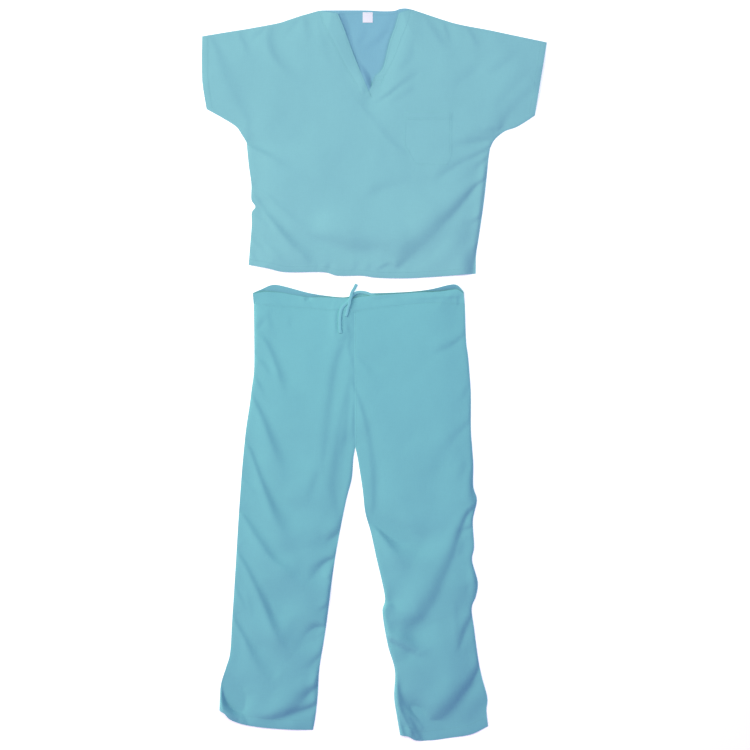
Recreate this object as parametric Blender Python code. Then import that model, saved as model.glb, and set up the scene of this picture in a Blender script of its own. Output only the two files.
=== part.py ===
"""Medical scrubs laid out flat: a short-sleeved V-neck top above drawstring trousers.

Each garment is a flat back that lies on the surface and a front that lies on the back. The
front rises from its seams in a low crown, and its folds are troughs and ridges in that crown.
+X is the wearer's left, +Y points to the neck, +Z is up from the surface. The origin is under
the middle of the whole set. Tables are in millimetres, objects in metres.
"""
import math
from collections import namedtuple
from itertools import product

import bmesh
import bpy
import numpy as np
from mathutils import Vector
from mathutils.bvhtree import BVHTree

MM = 0.001

# Cloth
WALL = 1.5
SEAM_GAP = 0.3
FRONT_LEVEL = WALL + SEAM_GAP
TOP_COLOUR = (0.243, 0.552, 0.617)
TROUSER_COLOUR = (0.195, 0.497, 0.597)
INSIDE_COLOUR = (0.209, 0.474, 0.591)
LABEL_COLOUR = (0.90, 0.90, 0.92)
CLOTH_ROUGHNESS = 0.85

# Crown of the fronts
CROWN = 7.5
CROWN_REACH = 24.0
OPEN_EDGE_START = 6.0
NECK_EDGE_START = 14.0
FOLD_FADE = 16.0
FOLD_SAMPLES = 24
FOLD_END = 0.04
RIDGE_OFFSET = 1.7

# Mesh steps: columns across and rows along each panel
SLEEVE_COLUMNS = 5
SHOULDER_COLUMNS = 8
NECK_ROWS = 9
NECK_FLOOR_COLUMNS = 2
BODY_COLUMNS = 2 * SHOULDER_COLUMNS + 2 * NECK_ROWS + NECK_FLOOR_COLUMNS
BODY_ROWS = 14
YOKE_ROWS = 13
LEG_COLUMNS = 11
SEAT_ROWS = 14
SHIN_ROWS = 30
CASING_ROWS = 2
CASING_SPLIT = 2
BAND_COLUMNS = 3

# Small pieces
BAND_GAP = 0.4
CASING_PUFF = 1.2
CASING_GATHER = 0.7
GATHER_LENGTH = 43.0
NECK_TAPE_WALL = 1.0
LABEL_WALL = 1.0
LABEL_SIZE = (25.0, 26.0)
LABEL_TOP = (-17.0, 906.0)
LABEL_COLUMNS = 2
POCKET_CLEARANCE = 0.6
POCKET_REACH = 8.0
TAPE_WIDTH = 9.0
TAPE_THICKNESS = 2.0
TAPE_STEP = 6.0
SHARP_ANGLE = math.radians(50)

# An arc is a smooth line through its points, cut into a number of mesh steps.
Arc = namedtuple("Arc", "steps points")

# Top, every edge running left to right or bottom to top
TOP_HEM = [Arc(BODY_COLUMNS, [(-315, 274), (-270, 266), (-222, 256), (-130, 256), (-92, 247),
                              (-32, 247), (5, 242), (75, 240.5), (145, 244), (253, 252)])]
TOP_SIDE_LEFT = [Arc(BODY_ROWS, [(-315, 274), (-311, 324), (-307, 375), (-307, 405), (-298, 420),
                                 (-308, 438), (-308, 476), (-314, 520), (-319, 569)])]
TOP_SIDE_RIGHT = [Arc(BODY_ROWS, [(253, 252), (254, 299), (260, 339), (272, 420), (279, 480),
                                  (285, 540), (289, 566)])]
CHEST_LINE = [Arc(BODY_COLUMNS, [(-319, 569), (289, 566)])]
UNDERARM_LEFT = [Arc(SLEEVE_COLUMNS, [(-420, 664), (-377, 640), (-346, 620), (-332, 600),
                                      (-320, 580), (-319, 569)])]
UNDERARM_RIGHT = [Arc(SLEEVE_COLUMNS, [(289, 566), (300, 587), (325, 608), (355, 619),
                                       (385, 637), (401, 648)])]
CUFF_LEFT = [Arc(YOKE_ROWS, [(-420, 664), (-428, 715), (-431, 752), (-431, 846)])]
CUFF_RIGHT = [Arc(YOKE_ROWS, [(401, 648), (415, 735), (431, 831)])]
ARMHOLE_LEFT = [Arc(YOKE_ROWS, [(-319, 569), (-320, 864)])]
ARMHOLE_RIGHT = [Arc(YOKE_ROWS, [(289, 566), (289, 861)])]
SHOULDER_LEFT_OUTER = [Arc(SLEEVE_COLUMNS, [(-431, 846), (-365, 857), (-320, 864)])]
SHOULDER_LEFT_INNER = [Arc(SHOULDER_COLUMNS, [(-320, 864), (-245, 878), (-215, 887),
                                              (-185, 897), (-139, 910)])]
SHOULDER_RIGHT_INNER = [Arc(SHOULDER_COLUMNS, [(94, 913), (115, 906), (175, 886), (215, 875),
                                               (289, 861)])]
SHOULDER_RIGHT_OUTER = [Arc(SLEEVE_COLUMNS, [(289, 861), (355, 847), (431, 831)])]
NECK_SEAM_LEFT = [Arc(NECK_ROWS, [(-139, 910), (-124, 866), (-100, 820), (-81, 781), (-56, 739),
                                  (-30, 694)])]
NECK_SEAM_FLOOR = [Arc(NECK_FLOOR_COLUMNS, [(-30, 694), (9, 694)])]
NECK_SEAM_RIGHT = [Arc(NECK_ROWS, [(9, 694), (24, 739), (46, 779), (61, 816), (72, 846),
                                   (84, 874), (94, 913)])]
V_EDGE_LEFT = [Arc(NECK_ROWS - 1, [(-92, 902), (-78, 869), (-66, 836), (-54, 804), (-43, 776),
                                   (-34, 754), (-24, 730), (-14.5, 708)]),
               Arc(1, [(-14.5, 708), (-8, 694)])]
V_EDGE_RIGHT = [Arc(1, [(-7.5, 694), (-13.5, 708.5)]),
                Arc(2, [(-13.5, 708.5), (-6, 724), (1, 745)]),
                Arc(1, [(1, 745), (15, 757)]),
                Arc(NECK_ROWS - 4, [(15, 757), (23, 771), (31, 804), (39, 836), (51, 869),
                                    (61, 903)])]
BACK_NECK = [Arc(10, [(-139, 910), (-120, 911), (-24, 911), (20, 909), (49, 910), (64, 915),
                      (79, 916), (94, 913)])]
NECK_TAPE_EDGE = [Arc(6, [(-88, 910), (-24, 910), (19, 907), (56, 910.5)])]
NECK_TAPE_DROP = 8.0

# Trousers
SIDE_LEFT = [Arc(SEAT_ROWS, [(-302, 177), (-301, 105), (-301, 15), (-307, -35), (-312, -75),
                             (-321, -135), (-326, -181)]),
             Arc(SHIN_ROWS, [(-326, -181), (-331, -235), (-337, -315), (-341, -375),
                             (-347, -475), (-352, -555), (-356, -615), (-361, -695), (-372, -735),
                             (-384, -775), (-387, -815), (-388, -840)])]
SIDE_RIGHT = [Arc(SEAT_ROWS, [(226, 174), (229, 85), (234, 45), (239, -15), (241, -55),
                              (241, -135), (244, -181)]),
              Arc(SHIN_ROWS, [(244, -181), (247, -225), (247, -280), (256, -315), (246, -365),
                              (249, -430), (244, -465), (258, -518), (254, -553), (243, -585),
                              (249, -635), (259, -710), (268, -755), (282, -808), (280, -840),
                              (284, -880)])]
CENTRE_SEAM = [Arc(SEAT_ROWS, [(-51, 156), (-48, -181)])]
INSEAM_LEFT = [Arc(SHIN_ROWS, [(-48, -181), (-53, -210), (-57, -260), (-71, -315), (-92, -420),
                               (-104, -495), (-114, -575), (-125, -655), (-138, -735),
                               (-142, -800), (-148, -855), (-154, -889)])]
INSEAM_RIGHT = [Arc(SHIN_ROWS, [(-48, -181), (-41, -215), (-30, -285), (-23, -345), (-9, -395),
                                (4, -455), (26, -555), (20, -595), (33, -675), (51, -740),
                                (49, -805), (56, -855), (64, -902)])]
LEG_HEM_LEFT = [Arc(LEG_COLUMNS, [(-388, -840), (-375, -846), (-360, -862), (-330, -874),
                                  (-285, -882), (-225, -887), (-154, -889)])]
LEG_HEM_RIGHT = [Arc(LEG_COLUMNS, [(64, -902), (85, -905), (105, -915), (142, -915),
                                   (187, -909), (240, -900), (284, -880)])]
WAIST_SEAM_LEFT = [Arc(LEG_COLUMNS, [(-302, 177), (-274, 172), (-185, 165), (-99, 159),
                                     (-51, 156)])]
WAIST_SEAM_RIGHT = [Arc(LEG_COLUMNS, [(-51, 156), (1, 164), (51, 170), (139, 176), (226, 174)])]
WAIST_EDGE_LEFT = [Arc(LEG_COLUMNS, [(-304, 201), (-279, 206), (-256, 206), (-231, 204),
                                     (-204, 199), (-164, 193), (-129, 193), (-51, 190)])]
WAIST_EDGE_RIGHT = [Arc(LEG_COLUMNS, [(-51, 190), (-34, 194), (4, 198), (34, 201), (76, 201),
                                      (141, 199), (186, 206), (206, 209), (222, 203)])]
BACK_WAIST_EDGE = [Arc(30, [(-304, 204), (-285, 212), (-255, 224), (-225, 220), (-165, 204),
                            (-115, 196), (-77, 193), (-51, 196), (0, 202), (75, 206),
                            (135, 212), (187, 224), (205, 224), (216, 215), (223, 206)])]

# Chest pocket, a patch whose lower corners are cut off
POCKET_SIDE_LEFT = [Arc(8, [(74, 573), (76, 655)])]
POCKET_SIDE_RIGHT = [Arc(8, [(195, 546), (196, 655)])]
POCKET_FOOT = [Arc(3, [(74, 573), (98, 530)]), Arc(1, [(98, 530), (106, 524)]),
               Arc(6, [(106, 524), (184, 521)]), Arc(2, [(184, 521), (195, 546)])]
POCKET_MOUTH = [Arc(12, [(76, 655), (196, 655)])]

# A fold runs from start through bend to finish. Its trough is depth deep, and a ridge stands
# on each side of it, left and right as one walks from start to finish.
Fold = namedtuple("Fold", "start bend finish width depth left right")

TOP_FOLDS = [
    Fold((-409, 839), (-369, 736), (-314, 624), 19, 3.5, 2.5, 2.0),
    Fold((-264, 861), (-246, 786), (-184, 724), 18, 2.5, 1.0, 1.5),
    Fold((-314, 576), (-229, 534), (-171, 496), 20, 3.0, 2.0, 3.5),
    Fold((-296, 444), (-236, 361), (-164, 289), 20, 4.5, 2.0, 4.0),
    Fold((-296, 466), (-241, 424), (-176, 366), 18, 2.0, 1.5, 1.0),
    Fold((-184, 361), (-34, 321), (74, 354), 20, 3.5, 1.5, 3.0),
    Fold((271, 489), (191, 409), (56, 271), 20, 4.0, 2.5, 3.5),
    Fold((286, 561), (236, 536), (164, 504), 18, 3.0, 1.5, 2.0),
    Fold((331, 799), (279, 751), (201, 724), 18, 3.0, 1.5, 2.0),
    Fold((379, 706), (326, 649), (281, 614), 18, 3.5, 2.5, 2.0),
    Fold((106, 761), (69, 726), (24, 691), 17, 2.0, 1.0, 1.5),
]
# The V edge stands up off the back, most at its foot on the wearer's right.
NECK_RISES = [
    Fold((-92, 902), (-78, 869), (-66, 836), 26, -4.0, 0.0, 0.0),
    Fold((-50, 790), (-30, 745), (-17, 712), 26, -7.0, 0.0, 0.0),
]
# The lower corner on the wearer's left is pressed down on the back.
CORNER_DENT = [Fold((258, 330), (250, 275), (240, 245), 24, 7.0, 0.0, 0.0)]

TROUSER_FOLDS = [
    Fold((-294, 101), (-246, 36), (-214, -61), 18, 2.5, 1.5, 2.0),
    Fold((-304, -56), (-264, -131), (-206, -241), 19, 3.0, 2.0, 2.5),
    Fold((-319, -174), (-261, -294), (-194, -409), 20, 3.5, 2.0, 2.5),
    Fold((-336, -344), (-256, -451), (-184, -534), 20, 4.0, 3.0, 3.0),
    Fold((-101, -459), (-149, -481), (-181, -511), 16, 2.5, 1.5, 1.5),
    Fold((-344, -451), (-281, -564), (-211, -694), 20, 4.0, 2.5, 3.0),
    Fold((-129, -629), (-171, -631), (-206, -654), 16, 2.5, 1.5, 1.5),
    Fold((-349, -619), (-309, -694), (-259, -759), 18, 3.0, 2.0, 2.0),
    Fold((-146, -774), (-199, -826), (-259, -861), 18, 4.0, 2.0, 2.5),
    Fold((-71, 94), (-109, -14), (-124, -219), 18, 3.0, 2.0, 2.0),
    Fold((-54, 1), (-14, -151), (-6, -384), 18, 3.0, 1.5, 2.0),
    Fold((224, -124), (171, -201), (101, -296), 20, 3.5, 2.5, 2.5),
    Fold((246, -329), (190, -440), (134, -576), 20, 5.0, 3.5, 4.0),
    Fold((134, -581), (109, -609), (79, -621), 16, 3.0, 1.5, 2.0),
    Fold((1, -384), (61, -431), (134, -466), 18, 3.5, 2.0, 2.5),
    Fold((31, -636), (64, -676), (106, -699), 16, 3.0, 2.0, 2.0),
    Fold((259, -744), (199, -806), (139, -864), 20, 5.0, 3.0, 3.5),
    Fold((56, -751), (91, -834), (156, -889), 18, 3.5, 2.0, 2.0),
]

# The front of the casing stands clear of the tape that comes out under it.
TAPE_TUNNEL = [Fold((-34, 190), (-5, 196), (30, 199), 15, -3.6, 0.0, 0.0)]

# Drawstring: middle line of the flat tape, from where it leaves the trousers to its free end
LONG_END_ROUTE = [(10, 190, 3.2), (-1, 196, 3.1), (-13, 201, 3.0), (-23, 204.5, 2.9),
                  (-36, 206, 2.9), (-47, 203.5, 4.4), (-55, 197, 7.1), (-61, 188, 9.0),
                  (-69, 178.5, 10.6), (-77, 171, 11.5), (-82.5, 163, 11.8), (-85, 153, 12.2),
                  (-86, 143, 12.5), (-86.5, 130, 12.9), (-86, 116, 13.1), (-85, 103, 13.1)]
SHORT_END_ROUTE = [(-72, 145, 11.9), (-69, 153, 11.8), (-66.5, 164.5, 12.3), (-63, 175, 13.5),
                   (-61.5, 184, 13.5), (-59, 194.5, 12.2), (-56, 205, 8.4), (-50.5, 215, 4.0),
                   (-45, 226, 1.6)]


def clear_scene():
    for item in list(bpy.data.objects):
        bpy.data.objects.remove(item, do_unlink=True)
    for old in list(bpy.data.collections):
        bpy.data.collections.remove(old)


def make_material(name, colour):
    material = bpy.data.materials.new(name)
    material.use_nodes = True
    shader = material.node_tree.nodes["Principled BSDF"]
    shader.inputs["Base Color"].default_value = (*colour, 1.0)
    shader.inputs["Roughness"].default_value = CLOTH_ROUGHNESS
    shader.inputs["Metallic"].default_value = 0.0
    return material


# Lines and patches, in millimetres

def smooth_line(points, count):
    """Points spaced evenly on a Catmull-Rom line through the given ones, ends included."""
    points = np.array(points, dtype=float)
    if len(points) == 2:
        return points[0] + np.linspace(0, 1, count)[:, None] * (points[1] - points[0])
    before = 2 * points[0] - points[1]
    after = 2 * points[-1] - points[-2]
    padded = np.vstack([before, points, after])
    u = np.linspace(0, 1, 16, endpoint=False)[:, None]
    fine = []
    for a, b, c, d in zip(padded, padded[1:], padded[2:], padded[3:]):
        fine.append(0.5 * (2 * b + (c - a) * u + (2 * a - 5 * b + 4 * c - d) * u ** 2
                           + (3 * b - a - 3 * c + d) * u ** 3))
    fine = np.vstack(fine + [points[-1:]])
    run = np.concatenate([[0], np.cumsum(np.linalg.norm(np.diff(fine, axis=0), axis=1))])
    wanted = np.linspace(0, run[-1], count)
    return np.column_stack([np.interp(wanted, run, fine[:, k]) for k in range(fine.shape[1])])


def edge(*runs):
    """The mesh points of an edge made of one or more runs of arcs, end to end."""
    points = None
    for run in runs:
        for arc in run:
            line = smooth_line(arc.points, arc.steps + 1)
            points = line if points is None else np.vstack([points, line[1:]])
    return points


def split(line, parts):
    """The same broken line with each of its steps cut into equal parts."""
    where = np.arange(len(line))
    wanted = np.linspace(0, len(line) - 1, (len(line) - 1) * parts + 1)
    return np.column_stack([np.interp(wanted, where, line[:, k]) for k in range(2)])


def shifted(line, x=0.0, y=0.0):
    return line + np.array([x, y])


def patch(bottom, top, left, right):
    """A Coons patch: rows of points between a bottom and a top edge and two side edges."""
    s = np.linspace(0, 1, len(bottom))[None, :, None]
    t = np.linspace(0, 1, len(left))[:, None, None]
    across = (1 - s) * left[:, None] + s * right[:, None]
    along = (1 - t) * bottom[None] + t * top[None]
    corners = ((1 - s) * (1 - t) * bottom[0] + s * (1 - t) * bottom[-1]
               + (1 - s) * t * top[0] + s * t * top[-1])
    return across + along - corners


# Heights of the fronts above their level

def distance_to(line, xy):
    """How far each point lies from a broken line."""
    nearest = np.full(len(xy), 1e9)
    for a, b in zip(line, line[1:]):
        run = b - a
        share = np.clip(((xy - a) @ run) / (run @ run), 0, 1)
        nearest = np.minimum(nearest, np.linalg.norm(xy - (a + share[:, None] * run), axis=1))
    return nearest


def fold_height(fold, xy):
    """Trough and ridges of one fold, fading out to its ends."""
    start, bend, finish = (np.array(p, dtype=float) for p in fold[:3])
    middle = 2 * bend - (start + finish) / 2
    u = np.linspace(0, 1, FOLD_SAMPLES)[:, None]
    path = (1 - u) ** 2 * start + 2 * u * (1 - u) * middle + u ** 2 * finish
    tangent = np.gradient(path, axis=0)
    tangent /= np.linalg.norm(tangent, axis=1)[:, None]
    offset = xy[:, None] - path[None]
    reach = np.linalg.norm(offset, axis=2)
    near = reach.argmin(axis=1)
    rows = np.arange(len(xy))
    step = offset[rows, near]
    heading = tangent[near]
    side = np.sign(heading[:, 0] * step[:, 1] - heading[:, 1] * step[:, 0])
    across = side * reach[rows, near] / fold.width
    fade = np.sqrt(np.sin(math.pi * np.clip(u[near, 0], FOLD_END, 1 - FOLD_END)))
    profile = (-fold.depth * np.exp(-across ** 2)
               + fold.left * np.exp(-(across - RIDGE_OFFSET) ** 2)
               + fold.right * np.exp(-(across + RIDGE_OFFSET) ** 2))
    return fade * profile


class Cover:
    """The height of a front: a crown that starts at its edges, with its folds."""

    def __init__(self, seams, open_edges, neck_edges, folds):
        self.seams = seams
        self.open_edges = [(line, OPEN_EDGE_START) for line in open_edges]
        self.open_edges += [(line, NECK_EDGE_START) for line in neck_edges]
        self.folds = folds

    def __call__(self, xy):
        closed = np.min([distance_to(line, xy) for line in self.seams], axis=0)
        opened = np.min([distance_to(line, xy) + start for line, start in self.open_edges],
                        axis=0)
        crown = CROWN * (1 - np.exp(-np.minimum(closed, opened) / CROWN_REACH))
        relief = sum(fold_height(fold, xy) for fold in self.folds)
        return np.maximum(crown + relief * (1 - np.exp(-closed / FOLD_FADE)), 0)


# Solids

def add_object(name, mesh, material, collection):
    item = bpy.data.objects.new(name, mesh)
    collection.objects.link(item)
    mesh.materials.clear()
    mesh.materials.append(material)
    return item


def cloth(name, plan, heights, wall, material, collection):
    """A wall of cloth over a plan of points, from a grid primitive moved to the plan.

    Cells with a corner that is not a number are cut away, and the sheet is then given its
    thickness straight up, so that neighbours stay apart along their seams.
    """
    rows, columns = plan.shape[0] - 1, plan.shape[1] - 1
    bpy.ops.mesh.primitive_grid_add(x_subdivisions=columns, y_subdivisions=rows, size=2)
    grid = bpy.context.object
    mesh = grid.data
    sheet = bmesh.new()
    sheet.from_mesh(mesh)
    cells = {}
    for vertex in sheet.verts:
        column = round((vertex.co.x + 1) / 2 * columns)
        row = round((vertex.co.y + 1) / 2 * rows)
        cells[vertex] = (row, column)
    cut = [v for v, cell in cells.items() if np.isnan(plan[cell][0])]
    for vertex, cell in cells.items():
        if not np.isnan(plan[cell][0]):
            x, y = plan[cell]
            vertex.co = (x * MM, y * MM, heights[cell] * MM)
    bmesh.ops.delete(sheet, geom=cut, context="VERTS")
    raised = bmesh.ops.extrude_face_region(sheet, geom=sheet.faces[:])
    upper = [part for part in raised["geom"] if isinstance(part, bmesh.types.BMVert)]
    bmesh.ops.translate(sheet, verts=upper, vec=(0, 0, wall * MM))
    bmesh.ops.recalc_face_normals(sheet, faces=sheet.faces[:])
    sheet.to_mesh(mesh)
    sheet.free()
    bpy.data.objects.remove(grid)
    mesh.shade_smooth()
    mesh.set_sharp_from_angle(angle=SHARP_ANGLE)
    return add_object(name, mesh, material, collection)


def front(name, plan, cover, material, collection):
    """A piece of a front: its plan lifted by the cover's height."""
    flat = plan.reshape(-1, 2)
    heights = np.full(len(flat), np.nan)
    real = ~np.isnan(flat[:, 0])
    heights[real] = FRONT_LEVEL + cover(flat[real])
    return cloth(name, plan, heights.reshape(plan.shape[:2]), WALL, material, collection)


def highest_near(panel, xy, reach):
    """The highest point of a panel's top at each place and at eight places around it."""
    mesh = panel.data
    faces = [tuple(face.vertices) for face in mesh.polygons]
    tree = BVHTree.FromPolygons([vertex.co for vertex in mesh.vertices], faces)
    heights = []
    for x, y in xy:
        tops = []
        for dx, dy in product((-reach, 0, reach), repeat=2):
            place = Vector(((x + dx) * MM, (y + dy) * MM, 1))
            tops.append(tree.ray_cast(place, Vector((0, 0, -1)))[0].z / MM)
        heights.append(max(tops))
    return np.array(heights)


def plate(name, outline, level, wall, material, collection):
    """A flat piece: its outline as a filled curve, given its thickness."""
    curve = bpy.data.curves.new(name, "CURVE")
    curve.dimensions = "2D"
    curve.fill_mode = "BOTH"
    curve.extrude = wall / 2 * MM
    spline = curve.splines.new("POLY")
    spline.points.add(len(outline) - 1)
    for point, (x, y) in zip(spline.points, outline):
        point.co = (x * MM, y * MM, 0, 1)
    spline.use_cyclic_u = True
    item = add_object(name, curve, material, collection)
    item.location.z = (level + wall / 2) * MM
    return item


def tape(name, route, material, collection):
    """A flat tape lying along a smooth line through its route's points."""
    length = sum(math.dist(a, b) for a, b in zip(route, route[1:]))
    line = smooth_line(route, round(length / TAPE_STEP) + 1)
    curve = bpy.data.curves.new(name, "CURVE")
    curve.dimensions = "3D"
    curve.twist_mode = "Z_UP"
    curve.bevel_depth = TAPE_THICKNESS / 2 * MM
    curve.bevel_resolution = 2
    curve.extrude = (TAPE_WIDTH - TAPE_THICKNESS) / 2 * MM
    curve.use_fill_caps = True
    spline = curve.splines.new("POLY")
    spline.points.add(len(line) - 1)
    for point, (x, y, z) in zip(spline.points, line):
        point.co = (x * MM, y * MM, z * MM, 1)
        point.tilt = math.pi / 2
    return add_object(name, curve, material, collection)


# The top

def outline_of(*lines):
    """One closed outline from edges that follow each other, shared ends taken once."""
    points = [line[:-1] for line in lines]
    return np.vstack(points)


def make_top(collection):
    outside = make_material("top_cloth", TOP_COLOUR)
    inside = make_material("inside_cloth", INSIDE_COLOUR)
    label_cloth = make_material("label_cloth", LABEL_COLOUR)

    hem, chest = edge(TOP_HEM), edge(CHEST_LINE)
    side_left, side_right = edge(TOP_SIDE_LEFT), edge(TOP_SIDE_RIGHT)
    underarm_left, underarm_right = edge(UNDERARM_LEFT), edge(UNDERARM_RIGHT)
    cuff_left, cuff_right = edge(CUFF_LEFT), edge(CUFF_RIGHT)
    sleeve_top_left, sleeve_top_right = edge(SHOULDER_LEFT_OUTER), edge(SHOULDER_RIGHT_OUTER)
    shoulder_left, shoulder_right = edge(SHOULDER_LEFT_INNER), edge(SHOULDER_RIGHT_INNER)
    armhole_left, armhole_right = edge(ARMHOLE_LEFT), edge(ARMHOLE_RIGHT)
    neck_left, neck_right = edge(NECK_SEAM_LEFT), edge(NECK_SEAM_RIGHT)
    neckline = edge(SHOULDER_LEFT_INNER, NECK_SEAM_LEFT, NECK_SEAM_FLOOR, NECK_SEAM_RIGHT,
                    SHOULDER_RIGHT_INNER)
    v_left, v_right = edge(V_EDGE_LEFT), edge(V_EDGE_RIGHT)

    cover = Cover([side_left, side_right, underarm_left, underarm_right, sleeve_top_left,
                   sleeve_top_right, shoulder_left, shoulder_right],
                  [hem, cuff_left, cuff_right], [v_left, v_right],
                  TOP_FOLDS + NECK_RISES + CORNER_DENT)

    columns = 2 * SLEEVE_COLUMNS + BODY_COLUMNS + 1
    plan = np.full((BODY_ROWS + YOKE_ROWS + 1, columns, 2), np.nan)
    body = slice(SLEEVE_COLUMNS, SLEEVE_COLUMNS + BODY_COLUMNS + 1)
    plan[:BODY_ROWS + 1, body] = patch(hem, chest, side_left, side_right)
    plan[BODY_ROWS:, body] = patch(chest, neckline, armhole_left, armhole_right)
    plan[BODY_ROWS:, :SLEEVE_COLUMNS + 1] = patch(underarm_left, sleeve_top_left, cuff_left,
                                                  armhole_left)
    plan[BODY_ROWS:, body.stop - 1:] = patch(underarm_right, sleeve_top_right, armhole_right,
                                             cuff_right)
    panel = front("top_front", plan, cover, outside, collection)

    back = outline_of(hem, side_right, underarm_right, cuff_right, sleeve_top_right[::-1],
                      shoulder_right[::-1], edge(BACK_NECK)[::-1], shoulder_left[::-1],
                      sleeve_top_left[::-1], cuff_left[::-1], underarm_left, side_left[::-1])
    plate("top_back", back, 0, WALL, inside, collection)

    make_neck(collection, cover, outside, inside, neck_left, neck_right, v_left, v_right)
    make_label(collection, label_cloth)
    pocket = patch(edge(POCKET_FOOT), edge(POCKET_MOUTH), edge(POCKET_SIDE_LEFT),
                   edge(POCKET_SIDE_RIGHT))
    heights = highest_near(panel, pocket.reshape(-1, 2), POCKET_REACH) + POCKET_CLEARANCE
    cloth("chest_pocket", pocket, heights.reshape(pocket.shape[:2]), WALL, outside, collection)


def make_neck(collection, cover, outside, inside, neck_left, neck_right, v_left, v_right):
    """The V band in two lapped halves, and the tape along the back neck."""
    outer = shifted(neck_left, x=BAND_GAP, y=BAND_GAP)[::-1]
    inner = shifted(v_left, y=BAND_GAP)[::-1]
    foot = smooth_line([outer[0], inner[0]], BAND_COLUMNS + 1)
    shoulder = smooth_line([outer[-1], inner[-1]], BAND_COLUMNS + 1)
    front("neck_band_left", patch(foot, shoulder, outer, inner), cover, outside, collection)
    outer = shifted(neck_right, x=-BAND_GAP, y=BAND_GAP)
    inner = shifted(v_right, y=BAND_GAP)
    foot = smooth_line([inner[0], outer[0]], BAND_COLUMNS + 1)
    shoulder = smooth_line([inner[-1], outer[-1]], BAND_COLUMNS + 1)
    front("neck_band_right", patch(foot, shoulder, inner, outer), cover, outside, collection)
    upper = edge(NECK_TAPE_EDGE)
    strip = np.vstack([upper, shifted(upper, y=-NECK_TAPE_DROP)[::-1]])
    plate("neck_band_back", strip, FRONT_LEVEL, NECK_TAPE_WALL, inside, collection)


def make_label(collection, material):
    """A blank label: its head lies on the back neck tape and its foot on the back."""
    width, length = LABEL_SIZE
    x, y = LABEL_TOP
    head = smooth_line([(x - width / 2, y), (x + width / 2, y)], LABEL_COLUMNS + 1)
    foot = shifted(head, y=-length)
    share_over_tape = np.array([0, 0, 0.4, 1, 1])
    sides = [smooth_line([foot[k], head[k]], len(share_over_tape)) for k in (0, -1)]
    plan = patch(foot, head, *sides)
    rise = share_over_tape * (NECK_TAPE_WALL + SEAM_GAP)
    heights = np.repeat(FRONT_LEVEL + rise[:, None], LABEL_COLUMNS + 1, axis=1)
    cloth("neck_label", plan, heights, LABEL_WALL, material, collection)


# The trousers

def make_trousers(collection):
    outside = make_material("trouser_cloth", TROUSER_COLOUR)
    inside = make_material("trouser_inside", INSIDE_COLOUR)
    tape_cloth = make_material("drawstring_tape", TROUSER_COLOUR)

    side_left, side_right = edge(SIDE_LEFT), edge(SIDE_RIGHT)
    inseam_left, inseam_right = edge(INSEAM_LEFT), edge(INSEAM_RIGHT)
    hem_left, hem_right = edge(LEG_HEM_LEFT), edge(LEG_HEM_RIGHT)
    waist_left, waist_right = edge(WAIST_SEAM_LEFT), edge(WAIST_SEAM_RIGHT)
    rim_left, rim_right = edge(WAIST_EDGE_LEFT), edge(WAIST_EDGE_RIGHT)
    cover = Cover([side_left, side_right, inseam_left, inseam_right],
                  [hem_left, hem_right, rim_left, rim_right], [], TROUSER_FOLDS + TAPE_TUNNEL)

    half = SEAM_GAP / 2
    inner_left = edge(CENTRE_SEAM, INSEAM_LEFT)
    inner_left[:SEAT_ROWS + 1, 0] -= half
    inner_right = edge(CENTRE_SEAM, INSEAM_RIGHT)
    inner_right[:SEAT_ROWS + 1, 0] += half
    waist_left[-1, 0] -= half
    waist_right[0, 0] += half
    left = patch(hem_left, waist_left, side_left[::-1], inner_left[::-1])
    right = patch(hem_right, waist_right, inner_right[::-1], side_right[::-1])
    front("trouser_front_left", left, cover, outside, collection)
    front("trouser_front_right", right, cover, outside, collection)

    back_left = outline_of(hem_left, inner_left[::-1], waist_left[::-1], side_left)
    back_right = outline_of(hem_right, side_right[::-1], waist_right[::-1], inner_right)
    plate("trouser_back_left", back_left, 0, WALL, inside, collection)
    plate("trouser_back_right", back_right, 0, WALL, inside, collection)

    make_casing(collection, cover, outside, inside, waist_left, waist_right, rim_left, rim_right)
    tape("drawstring_long", LONG_END_ROUTE, tape_cloth, collection)
    tape("drawstring_short", SHORT_END_ROUTE, tape_cloth, collection)


def make_casing(collection, cover, outside, inside, waist_left, waist_right, rim_left,
                rim_right):
    """The casing around the waist that the drawstring runs in: two fronts and one back."""
    rim_left[-1, 0] -= SEAM_GAP / 2
    rim_right[0, 0] += SEAM_GAP / 2
    for name, seam, rim in (("left", waist_left, rim_left), ("right", waist_right, rim_right)):
        seam = shifted(split(seam, CASING_SPLIT), y=BAND_GAP)
        rim = split(rim, CASING_SPLIT)
        sides = [smooth_line([seam[k], rim[k]], CASING_ROWS + 1) for k in (0, -1)]
        plan = patch(seam, rim, *sides)
        heights = FRONT_LEVEL + cover(plan.reshape(-1, 2)).reshape(plan.shape[:2])
        middle = np.sin(np.linspace(0, math.pi, CASING_ROWS + 1))[:, None]
        gather = CASING_GATHER * np.sin(plan[:, :, 0] / GATHER_LENGTH * 2 * math.pi)
        heights += (CASING_PUFF + gather) * middle
        cloth(f"casing_front_{name}", plan, heights, WALL, outside, collection)
    foot = shifted(np.vstack([waist_left[:-1], waist_right[1:]]), y=BAND_GAP)
    outline = np.vstack([foot, edge(BACK_WAIST_EDGE)[::-1]])
    plate("casing_back", outline, 0, WALL, inside, collection)


def main():
    clear_scene()
    collection = bpy.data.collections.new("medical_scrubs")
    bpy.context.scene.collection.children.link(collection)
    make_top(collection)
    make_trousers(collection)


main()
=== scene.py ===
"""The finish of a set of medical scrubs laid out flat: a V-neck top above drawstring trousers.

Every panel is a thin shell of cloth on the form of its solid. +X is the wearer's left, +Y points
to the neck and +Z is up. In names, left and right are those of someone who looks down on the set
with its neck at the top. Tables are in millimetres, objects in metres.
"""
import math
from collections import namedtuple

import bmesh
import bpy
import numpy as np
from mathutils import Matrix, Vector, noise
from mathutils.bvhtree import BVHTree


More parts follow.
